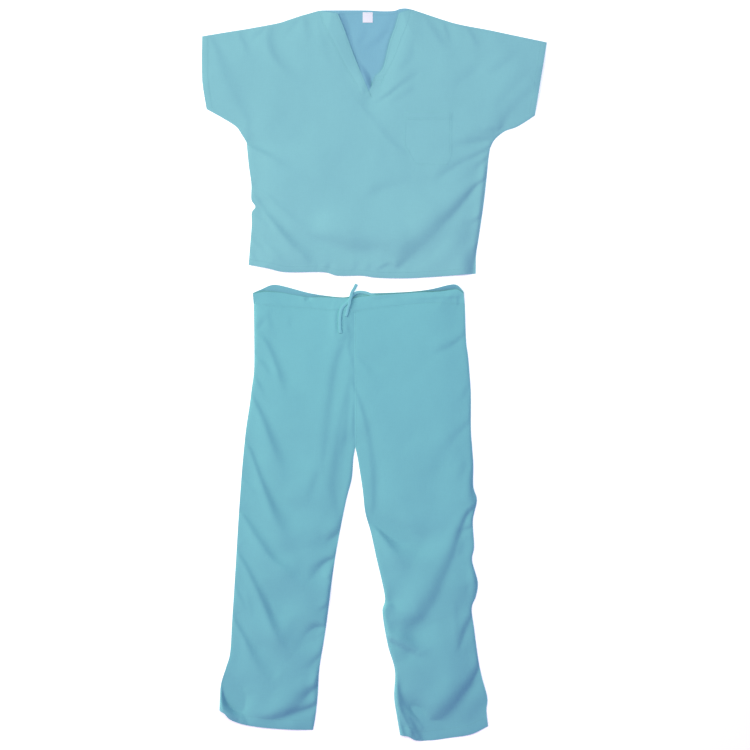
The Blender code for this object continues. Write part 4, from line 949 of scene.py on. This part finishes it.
def threads(tree, place, direction, pitch):
    """Rounded rows of yarn across a direction, from -1 to 1."""
    wave = tree.nodes.new("ShaderNodeTexWave")
    wave.bands_direction = direction
    wave.inputs["Scale"].default_value = 2 * math.pi / 20 / (pitch * MM)
    wave.inputs["Distortion"].default_value = 0.6
    wave.inputs["Detail"].default_value = 1.0
    wave.inputs["Detail Scale"].default_value = 0.08
    link(tree, place, wave.inputs["Vector"])
    return math_node(tree, "MULTIPLY_ADD", wave.outputs["Fac"], 2.0, -1.0)


def speckle(tree, place, size, detail=3.0, stretch=(1, 1, 1)):
    """Uneven noise of about a size, in millimetres."""
    mapping = tree.nodes.new("ShaderNodeMapping")
    mapping.inputs["Scale"].default_value = stretch
    link(tree, place, mapping.inputs["Vector"])
    texture = tree.nodes.new("ShaderNodeTexNoise")
    texture.inputs["Scale"].default_value = 1 / (size * MM)
    texture.inputs["Detail"].default_value = detail
    link(tree, mapping.outputs["Vector"], texture.inputs["Vector"])
    return texture.outputs["Fac"]


def shade_colour(tree, shader, colour, lightness):
    """A shader's colour, made lighter and darker by a value."""
    shade = tree.nodes.new("ShaderNodeVectorMath")
    shade.operation = "SCALE"
    shade.inputs[0].default_value = colour
    link(tree, lightness, shade.inputs["Scale"])
    link(tree, shade.outputs["Vector"], shader.inputs["Base Color"])


def relief_of(tree, height, strength, depth):
    """Fine relief of about a depth, in millimetres."""
    relief = tree.nodes.new("ShaderNodeBump")
    relief.inputs["Strength"].default_value = strength
    relief.inputs["Distance"].default_value = depth * MM
    link(tree, height, relief.inputs["Height"])
    return relief


def woven(name, colour, yarn_pitch=0.75, crumple=0.3):
    """Plain-woven poly-cotton: yarns over and under, slubs and fine crumples."""
    material, tree, shader = new_material(name)
    place = tree.nodes.new("ShaderNodeTexCoord").outputs["Object"]
    warp = threads(tree, place, "X", yarn_pitch)
    weft = threads(tree, place, "Y", yarn_pitch)
    weave = math_node(tree, "MULTIPLY", warp, weft)
    slub_x = speckle(tree, place, 2.2, 2.0, (0.12, 1, 1))
    slub_y = speckle(tree, place, 2.2, 2.0, (1, 0.12, 1))
    slubs = math_node(tree, "ADD", slub_x, slub_y)
    cloudy = speckle(tree, place, 140)
    lightness = math_node(tree, "MULTIPLY_ADD", weave, YARN_SHADE, PLAIN_SHADE)
    lightness = math_node(tree, "MULTIPLY_ADD", slubs, SLUB_SHADE, lightness)
    lightness = math_node(tree, "MULTIPLY_ADD", cloudy, CLOUD_SHADE, lightness)
    shade_colour(tree, shader, colour, lightness)
    yarns = relief_of(tree, weave, 0.5, 0.06)
    crumples = relief_of(tree, speckle(tree, place, 11, 4.0), 0.6, crumple)
    link(tree, yarns.outputs["Normal"], crumples.inputs["Normal"])
    link(tree, crumples.outputs["Normal"], shader.inputs["Normal"])
    shader.inputs["Roughness"].default_value = 0.88
    shader.inputs["Specular IOR Level"].default_value = 0.25
    shader.inputs["Sheen Weight"].default_value = 0.12
    shader.inputs["Sheen Roughness"].default_value = 0.45
    shader.inputs["Sheen Tint"].default_value = (0.75, 0.93, 1.0, 1.0)
    return material


def spun(name, colour):
    """Sewing thread: twisted plies."""
    material, tree, shader = new_material(name)
    place = tree.nodes.new("ShaderNodeTexCoord").outputs["Object"]
    plies = threads(tree, place, "DIAGONAL", 0.5)
    shade_colour(tree, shader, colour, math_node(tree, "MULTIPLY_ADD", plies, 0.08, 0.96))
    shader.inputs["Roughness"].default_value = 0.6
    return material


# How light the cloth's colour is taken, and how much its yarns, slubs and clouds vary it
PLAIN_SHADE = 0.925
YARN_SHADE = 0.035
SLUB_SHADE = 0.05
CLOUD_SHADE = 0.05

TOP_COLOUR = (0.236, 0.554, 0.580)
# The top's inside is a darker, bluer copy of the top's cloth: painted shade for where it lies
# under the front
TOP_INSIDE_SHADED_COLOUR = (0.212, 0.489, 0.588)
TROUSER_COLOUR = (0.195, 0.551, 0.573)
# The trousers' inside is a darker copy of the trouser cloth: painted shade for the casing's back
# and the backs that lie under the fronts
TROUSER_INSIDE_SHADED_COLOUR = (0.187, 0.510, 0.554)
TAPE_COLOUR = (0.215, 0.575, 0.610)
LABEL_COLOUR = (0.86, 0.86, 0.90)
THREAD_COLOUR = (0.195, 0.460, 0.520)

top_cloth = woven("top_cloth_weave", TOP_COLOUR)
# Cloth for the top's back, neck tape and other insides, with painted shade in its darker colour
top_inside_shaded = woven("top_inside_painted_shade_weave", TOP_INSIDE_SHADED_COLOUR)
trouser_cloth = woven("trouser_cloth_weave", TROUSER_COLOUR)
# Cloth for the trouser backs and the casing's back, with painted shade in its darker colour
trouser_inside_shaded = woven("trouser_inside_painted_shade_weave", TROUSER_INSIDE_SHADED_COLOUR)
tape_cloth = woven("tape_weave", TAPE_COLOUR, yarn_pitch=0.6, crumple=0.15)
label_cloth = woven("label_weave", LABEL_COLOUR, yarn_pitch=0.4, crumple=0.08)
thread = spun("sewing_thread", THREAD_COLOUR)


# View and light

def make_camera():
    data = bpy.data.cameras.new("view")
    data.sensor_width = SENSOR
    data.lens = SENSOR * (VIEW_HEIGHT - VIEW_LEVEL) / VIEW_WIDTH
    data.clip_end = 50
    camera = bpy.data.objects.new("view", data)
    camera.location = (VIEW_CENTRE[0] * MM, VIEW_CENTRE[1] * MM, VIEW_HEIGHT * MM)
    bpy.context.scene.collection.objects.link(camera)
    bpy.context.scene.camera = camera


def add_light(name, place, size, power, colour):
    """A soft square light, aimed at the middle of the set."""
    data = bpy.data.lights.new(name, "AREA")
    data.size = size
    data.energy = power
    data.color = colour
    lamp = bpy.data.objects.new(name, data)
    lamp.location = place
    lamp.rotation_euler = Vector(place).to_track_quat("Z", "Y").to_euler()
    bpy.context.scene.collection.objects.link(lamp)


def make_studio():
    """A soft-lit studio with a plain pale floor."""
    world = bpy.data.worlds.new("studio")
    world.use_nodes = True
    sky = world.node_tree.nodes["Background"]
    sky.inputs["Color"].default_value = SKY_COLOUR
    sky.inputs["Strength"].default_value = SKY_STRENGTH
    scene = bpy.context.scene
    scene.world = world
    scene.view_settings.view_transform = "Standard"
    for name, light in LIGHTS.items():
        add_light(name, *light)
    bpy.ops.object.select_all(action="DESELECT")
    bpy.ops.mesh.primitive_plane_add(size=FLOOR_SIZE, location=(0, 0, -FLOOR_DROP))
    floor = bpy.context.object
    floor.name = "floor"
    paper, _, shader = new_material("floor_paper")
    shader.inputs["Base Color"].default_value = (0.95, 0.95, 0.95, 1.0)
    shader.inputs["Roughness"].default_value = 0.95
    shader.inputs["Emission Color"].default_value = (1.0, 1.0, 1.0, 1.0)
    shader.inputs["Emission Strength"].default_value = 0.40
    floor.data.materials.append(paper)


# Drawstring

def tape_end(name, node, route):
    """One free end of the drawstring: a flat folded tape with rounded edges."""
    length = sum(math.dist(a, b) for a, b in zip(route, route[1:]))
    line = smooth_line(route, even(round(length / TAPE_STEP)))
    heading = headings(line)
    across = np.cross((0, 0, 1), heading)
    across /= np.linalg.norm(across, axis=1)[:, None]
    upward = np.cross(heading, across)
    half = (TAPE_WIDTH - TAPE_THICKNESS / 2) / 2
    spread = np.linspace(-half, half, 9)
    camber = TAPE_CAMBER * (1 - (spread / half) ** 2)
    places = (line[:, None] + spread[None, :, None] * across[:, None]
              + (camber[None, :, None] + TAPE_WALL / 2) * upward[:, None])
    piece = new_grid(name, places[:, ::-1])
    add_wall(piece, TAPE_WALL)
    rounding = piece.modifiers.new("rounding", "BEVEL")
    rounding.width = TAPE_ROUNDING * MM
    rounding.segments = 3
    rounding.limit_method = "ANGLE"
    rounding.angle_limit = math.radians(50)
    bpy.ops.object.modifier_apply(modifier=rounding.name)
    bpy.ops.object.shade_smooth_by_angle(angle=math.radians(60))
    piece.data.materials.append(tape_cloth)
    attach(piece, "root")
    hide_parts(node)


# The top

def top_plan(neckline_arcs, lengths, across, along):
    """The plan of a front or back of the top, body and sleeves in one grid."""
    marks = np.cumsum([0] + [arc.steps for arc in neckline_arcs])
    runs = [spaced(lengths[0], across, first=RIM_STEPS),
            *[spaced(length, across) for length in lengths[1:-1]],
            spaced(lengths[-1], across, last=RIM_STEPS)]
    s = joined(marks / marks[-1], *runs)
    low = spaced(BODY_LENGTH, along, first=HEM_STEPS)
    high = spaced(YOKE_LENGTH, along, last=RIM_STEPS)
    hem, chest = edge(TOP_HEM, s), edge(CHEST_LINE, s)
    neckline = edge(neckline_arcs, *runs)
    body = patch(hem, chest, edge(TOP_SIDE_LEFT, low), edge(TOP_SIDE_RIGHT, low), s, low)
    armhole_left, armhole_right = edge(ARMHOLE_LEFT, high), edge(ARMHOLE_RIGHT, high)
    yoke = patch(chest, neckline, armhole_left, armhole_right, s, high)
    out = spaced(SLEEVE_LEFT_LENGTH, across, first=HEM_STEPS)
    sleeve_left = patch(edge(UNDERARM_LEFT, out), edge(SHOULDER_LEFT_OUTER, out),
                        edge(CUFF_LEFT, high), armhole_left, out, high)
    back_out = spaced(SLEEVE_RIGHT_LENGTH, across, last=HEM_STEPS)
    sleeve_right = patch(edge(UNDERARM_RIGHT, back_out), edge(SHOULDER_RIGHT_OUTER, back_out),
                         armhole_right, edge(CUFF_RIGHT, high), back_out, high)
    left, middle, right = len(out) - 1, len(s), len(back_out) - 1
    plan = np.full((len(low) + len(high) - 1, left + middle + right, 2), np.nan)
    plan[:len(low), left:left + middle] = body
    plan[len(low) - 1:, left:left + middle] = yoke
    plan[len(low) - 1:, :left + 1] = sleeve_left
    plan[len(low) - 1:, left + middle - 1:] = sleeve_right
    return plan


def make_top_cover():
    """The height of the top's front."""
    seams = [finely(run, parts=4) for run in
             (TOP_SIDE_LEFT, TOP_SIDE_RIGHT, UNDERARM_LEFT, UNDERARM_RIGHT, SHOULDER_LEFT_OUTER,
              SHOULDER_RIGHT_OUTER, SHOULDER_LEFT_INNER, SHOULDER_RIGHT_INNER)]
    hems = [(finely(TOP_HEM, parts=3), TOP_HEM_DEPTH, HEM_START),
            (finely(CUFF_LEFT, parts=3), CUFF_DEPTH, CUFF_START),
            (finely(CUFF_RIGHT, parts=3), CUFF_DEPTH, CUFF_START)]
    return Cover(seams, hems, [finely(V_EDGE_LEFT, parts=2), finely(V_EDGE_RIGHT, parts=2)],
                 TOP_FOLDS, NECK_RISES, TOP_RIPPLES)


def neck_band(name, outer, inner, cover, seam_on_left, groove, laps=()):
    """One half of the V band, which overlaps the panel at its seam."""
    rows = even(len(outer) - 1)
    columns = spaced(BAND_WIDTH, BAND_PITCH, first=BAND_RIM_STEPS, last=BAND_RIM_STEPS)
    foot = smooth_line([outer[0], inner[0]], columns)
    shoulder = smooth_line([outer[-1], inner[-1]], columns)
    if seam_on_left:
        plan = patch(foot, shoulder, outer, inner, columns, rows)
    else:
        plan = patch(foot[::-1], shoulder[::-1], inner, outer, columns, rows)
    places = over(plan, cover)
    from_seam = distance_to(outer, plan.reshape(-1, 2)).reshape(plan.shape[:2])
    places[..., 2] += BAND_LIFT - groove * bell(from_seam, BAND_GROOVE_WIDTH)
    places[..., 2] -= 0.5 * groove * bell(from_seam - BAND_ROW, BAND_ROW_WIDTH)
    for start, end, level in laps:
        below = level - plan[..., 1]
        within = ease((plan[..., 0] - start) / 3) * ease((end - plan[..., 0]) / 3)
        places[..., 2] -= (LAP_DROP * within * ease(below / 2.4)
                           * np.exp(-np.maximum(below, 0) / 5))
    return cloth_piece(name, places, top_cloth,
                       flat=BAND_CUT)


def make_top_back(cover):
    """The back of the top, which climbs to the front's edge under the V."""
    plan = top_plan(BACK_NECKLINE, BACK_NECKLINE_LENGTHS, BACK_PITCH_ACROSS, BACK_PITCH_ALONG)
    flat = plan.reshape(-1, 2)
    real = ~np.isnan(flat[:, 0])
    rise = np.zeros(len(flat))
    rise[real] = BACK_SLACK + ripple(flat[real], *BACK_RIPPLE)
    rise[real] += sum(fold_height(fold, flat[real]) for fold in BACK_SLOPES)
    rise[real] += slope_height(V_SLOPE, flat[real])
    front = cover(flat)
    rim = np.minimum(distance_to(finely(BACK_NECK), flat), np.abs(front - SEAM_LOW) * BACK_RIM)
    ceiling = np.nan_to_num(front) - BACK_LEVEL - BACK_ROOM
    rise = np.minimum(np.maximum(rise, 0), np.maximum(ceiling, 0))
    places = lifted(plan, BACK_LEVEL + rise * np.clip(rim / BACK_RIM, 0, 1))
    return cloth_piece("top_back", places, top_inside_shaded,
                       BACK_THICKNESS)


def make_neck_tape(back):
    """The tape along the inside of the back neck, pressed down at its lower edge."""
    upper = finely(NECK_TAPE_EDGE, parts=5)
    lower = upper - (0, NECK_TAPE_DROP)
    plan = strip(lower, upper, even(len(upper) - 1), spaced(NECK_TAPE_DROP, NECK_TAPE_PITCH))
    heights = Ground(back)(plan.reshape(-1, 2)).reshape(plan.shape[:2])
    heights = np.where(np.isnan(heights), BACK_LEVEL, heights) + NECK_TAPE_LIFT
    heights[0] -= NECK_TAPE_PRESS
    cloth_piece("neck_band_back", lifted(plan, heights), top_inside_shaded,
                NECK_TAPE_THICKNESS)


def make_label():
    """The blank label, sewn on at its head and slightly curled."""
    width, length = LABEL_SIZE
    x, y = LABEL_TOP
    across, down = even(12), even(13)
    head = smooth_line([(x - width / 2, y), (x + width / 2, y)], across)
    plan = strip(head - (0, length), head, across, down)
    share = down[:, None]
    curl = 1.3 * np.exp(-share / 0.16) + 0.3 * np.sin(across * math.pi)[None]
    heights = 1.3 + 0.9 * ease((share - 0.55) / 0.2) + curl
    return cloth_piece("neck_label", lifted(plan, heights), label_cloth,
                       LABEL_THICKNESS)


def stitch_top(panel, left_band, right_band, label):
    """The rows at the top's hems, beside the neck band's seams and edges, and on its lap."""
    rows = [inset(finely(TOP_HEM, parts=8), TOP_HEM_DEPTH - HEM_ROW),
            inset(finely(CUFF_LEFT, parts=8), HEM_ROW - CUFF_DEPTH),
            inset(finely(CUFF_RIGHT, parts=8), CUFF_DEPTH - HEM_ROW)]
    rows += [inset(finely(NECK_SEAM_LEFT), SEAM_ROW)[:-6],
             inset(finely(NECK_SEAM_RIGHT), SEAM_ROW)[6:]]
    rows += [inset(finely(V_EDGE_LEFT), -V_EDGE_ROW)[:-6],
             inset(finely(V_EDGE_RIGHT[3:]), -V_EDGE_ROW)]
    rows += [np.array([(1.5, y), (12, y), (24, y)]) for y in LAP_ROWS]
    thread_rows("top_stitches", rows, Ground(panel, left_band, right_band))
    thread_rows("label_stitches", [np.array([(-28, 904), (-6, 904)])], Ground(label))


def make_top():
    """The top: panels, neck band, neck tape, label and pocket, with their stitches."""
    cover = make_top_cover()
    plan = top_plan(FRONT_NECKLINE, FRONT_NECKLINE_LENGTHS, TOP_PITCH_ACROSS, TOP_PITCH_ALONG)
    panel = cloth_piece("top_front", over(plan, cover), top_cloth)
    back = make_top_back(cover)
    left_band = neck_band("neck_band_left", finely(NECK_SEAM_LEFT)[::-1],
                          finely(V_EDGE_LEFT)[::-1], cover, True, 0.5)
    right_band = neck_band("neck_band_right", finely(NECK_SEAM_RIGHT, parts=14),
                           finely(V_EDGE_RIGHT, parts=14), cover, False, 0.15, LAP_STEPS)
    make_neck_tape(back)
    label = make_label()
    make_pocket(Ground(panel))
    stitch_top(panel, left_band, right_band, label)


def make_pocket(ground):
    """The chest pocket: a stitched patch with a deep hem at its mouth."""
    foot_steps = np.cumsum([0] + [arc.steps for arc in POCKET_FOOT])
    foot_runs = [even(4 * arc.steps) for arc in POCKET_FOOT]
    s = joined(foot_steps / foot_steps[-1], *foot_runs)
    t = spaced(POCKET_HEIGHT, POCKET_PITCH, first=POCKET_FOOT_STEPS, last=POCKET_MOUTH_STEPS)
    plan = patch(edge(POCKET_FOOT, *foot_runs), edge(POCKET_MOUTH, s),
                 edge(POCKET_SIDE_LEFT, t), edge(POCKET_SIDE_RIGHT, t), s, t)
    flat = plan.reshape(-1, 2)
    sides = [finely(POCKET_SIDE_LEFT), finely(POCKET_FOOT), finely(POCKET_SIDE_RIGHT)]
    from_edge = np.min([distance_to(line, flat) for line in sides], axis=0)
    from_mouth = distance_to(finely(POCKET_MOUTH), flat)
    height = ground(flat) + POCKET_EDGE_LIFT + POCKET_LIFT * (1 - np.exp(-from_edge / 2.4))
    height -= POCKET_GROOVE * bell(from_edge - POCKET_ROW, POCKET_GROOVE_WIDTH)
    height += (POCKET_GAPE * np.exp(-from_mouth / POCKET_GAPE_REACH)
               * (1 - np.exp(-from_edge / POCKET_GAPE_REACH)))
    height += POCKET_HEM_LIFT * (1 - ease((from_mouth - POCKET_HEM_DEPTH) / 1.8))
    for depth in POCKET_MOUTH_ROWS:
        height -= 0.05 * bell(from_mouth - depth, 1.1)
    piece = cloth_piece("chest_pocket", lifted(plan, height), top_cloth)
    left = finely(POCKET_SIDE_LEFT, parts=8)[::-1]
    right = finely(POCKET_SIDE_RIGHT, parts=8)
    rim = np.vstack([left[:-1], finely(POCKET_FOOT, parts=8), right[1:]])
    mouth = finely(POCKET_MOUTH, parts=8)
    rows = [inset(rim, POCKET_ROW)[2:-2], inset(right, PEN_ROW)[4:]]
    rows += [inset(mouth, -depth)[3:-3] for depth in POCKET_MOUTH_ROWS]
    thread_rows("pocket_stitches", rows, Ground(piece))


# The trousers

def leg_plan(hem_arcs, side_arcs, inner_arcs, waist_arcs, side_is_left, pitch):
    """The plan of one leg's front or back, from its hem to the waist seam."""
    across = spaced(LEG_WIDTH, pitch, first=RIM_STEPS, last=RIM_STEPS)
    shin = spaced(SHIN_LENGTH, pitch, first=LEG_HEM_STEPS)
    seat = spaced(SEAT_LENGTH, pitch)
    t = joined([0, SHIN_SHARE, 1], shin, seat)
    seat_down, shin_down = 1 - seat[::-1], 1 - shin[::-1]
    side = edge(side_arcs, seat_down, shin_down)[::-1]
    inner = edge(inner_arcs, seat_down, shin_down)[::-1]
    hem, waist = edge(hem_arcs, across), edge(waist_arcs, across)
    left, right = (side, inner) if side_is_left else (inner, side)
    return patch(hem, waist, left, right, across, t)


def make_trouser_cover():
    """The height of the trousers' front."""
    seams = [finely(run, parts=3) for run in (SIDE_LEFT, SIDE_RIGHT, INSEAM_LEFT, INSEAM_RIGHT)]
    hems = [(finely(LEG_HEM_LEFT), LEG_HEM_DEPTH, HEM_START),
            (finely(LEG_HEM_RIGHT), LEG_HEM_DEPTH, HEM_START),
            (finely(WAIST_EDGE_LEFT), 0, WAIST_START),
            (finely(WAIST_EDGE_RIGHT), 0, WAIST_START)]
    return Cover(seams, hems, [], TROUSER_FOLDS, TAPE_RISES, TROUSER_RIPPLES)


def make_trousers():
    """The trousers: legs and casing, with their stitches."""
    cover = make_trouser_cover()
    centre = finely(CENTRE_SEAM)
    sewn = []
    legs = (("left", LEG_HEM_LEFT, SIDE_LEFT, INSEAM_LEFT, WAIST_SEAM_LEFT, True),
            ("right", LEG_HEM_RIGHT, SIDE_RIGHT, INSEAM_RIGHT, WAIST_SEAM_RIGHT, False))
    for name, hem, side, inseam, waist, side_is_left in legs:
        plan = leg_plan(hem, side, CENTRE_SEAM + inseam, waist, side_is_left, LEG_PITCH)
        places = over(plan, cover)
        from_centre = distance_to(centre, plan.reshape(-1, 2)).reshape(plan.shape[:2])
        places[..., 2] -= CENTRE_GROOVE * bell(from_centre, CENTRE_GROOVE_WIDTH)
        sewn.append(cloth_piece(f"trouser_front_{name}", places, trouser_cloth))
        plan = leg_plan(hem, side, CENTRE_SEAM + inseam, waist, side_is_left, LEG_BACK_PITCH)
        heights = np.full(plan.shape[:2], BACK_LEVEL)
        cloth_piece(f"trouser_back_{name}", lifted(plan, heights), trouser_inside_shaded,
                    BACK_THICKNESS)
    sewn.append(casing_front("left", WAIST_SEAM_LEFT, WAIST_EDGE_LEFT, cover))
    sewn.append(casing_front("right", WAIST_SEAM_RIGHT, WAIST_EDGE_RIGHT, cover))
    casing_back()
    rows = [inset(finely(hem, parts=8), LEG_HEM_DEPTH - HEM_ROW)
            for hem in (LEG_HEM_LEFT, LEG_HEM_RIGHT)]
    rows += [inset(finely(CENTRE_SEAM, parts=8), SEAM_ROW)]
    rows += [inset(finely(seam, parts=8), WAIST_ROW)
             for seam in (WAIST_SEAM_LEFT, WAIST_SEAM_RIGHT)]
    thread_rows("trouser_stitches", rows, Ground(*sewn))


def gathers(x, share):
    """Small uneven gathers of the casing, faint on the wearer's right."""
    value = 0.55 * np.sin(x / 4.1 + 1.6 * np.sin(x / 31)) + 0.45 * np.sin(x / 7.3 + 0.9)
    strength = 0.08 + 0.12 * ease((x - 60) / 80)
    return value * strength * np.sin(share * math.pi) ** 0.7


def casing_front(name, seam_arcs, rim_arcs, cover):
    """One half of the casing's front, puffed over its string, gathered and creased."""
    s = spaced(CASING_LENGTH, CASING_PITCH_ACROSS, first=RIM_STEPS, last=RIM_STEPS)
    t = spaced(CASING_HEIGHT, CASING_PITCH_ALONG, first=CASING_SEAM_STEPS,
               last=CASING_RIM_STEPS)
    plan = strip(edge(seam_arcs, s) - (0, 0.5), edge(rim_arcs, s), s, t)
    places = over(plan, cover)
    share = np.broadcast_to(t[:, None], plan.shape[:2])
    flat = plan.reshape(-1, 2)
    creases = sum(fold_height(fold, flat) for fold in CASING_FOLDS).reshape(share.shape)
    puff = CASING_PUFF * np.sin(np.minimum(share * math.pi, math.pi / 2)) ** 0.8
    dimple = distance_to(np.array(CASING_DIMPLE), flat).reshape(share.shape)
    places[..., 2] += CASING_LIFT + puff + gathers(plan[..., 0], share) + creases
    places[..., 2] -= CASING_GROOVE * bell(share * CASING_HEIGHT - CASING_ROW,
                                           CASING_GROOVE_WIDTH)
    places[..., 2] -= DIMPLE_DEPTH * bell(dimple, DIMPLE_WIDTH)
    return cloth_piece(f"casing_front_{name}", places, trouser_cloth)


def casing_back():
    """The casing's back, which climbs past the front's edge and lies low under the tape."""
    half = even(CASING_BACK_STEPS)
    foot = np.vstack([edge(WAIST_SEAM_LEFT, half), edge(WAIST_SEAM_RIGHT, half)[1:]])
    s = even(2 * CASING_BACK_STEPS)
    t = spaced(CASING_BACK_HEIGHT, CASING_BACK_PITCH)
    plan = strip(foot, edge(BACK_WAIST_EDGE, s), s, t)
    x = plan[..., 0]
    wave = 0.15 * np.sin(x / 5.3 + np.sin(x / 23)) + 0.15
    front_edge = np.vstack([finely(WAIST_EDGE_LEFT), finely(WAIST_EDGE_RIGHT)[1:]])
    signed = beside(front_edge, plan.reshape(-1, 2))[0].reshape(x.shape)
    past, under = np.maximum(signed, 0), np.maximum(-signed, 0)
    climb = (3.0 + 0.12 * np.clip(x / 100, 0, 1)) * (1 - np.exp(-past / 4.5))
    slope_out = 1.7 * bell(under, 5) + climb + (0.10 + 0.25 * ease(x / 150)) * past
    off_tape = 1 - 0.85 * bell(x + 30, 26)
    heights = BACK_LEVEL + wave * ease(t[:, None] * 4) + slope_out * off_tape
    cloth_piece("casing_back", lifted(plan, heights), trouser_inside_shaded,
                BACK_THICKNESS)


make_camera()
tape_end("drawstring_long_tape", "drawstring_long", LONG_END_ROUTE)
tape_end("drawstring_short_tape", "drawstring_short", SHORT_END_ROUTE)
make_top()
make_trousers()
make_studio()
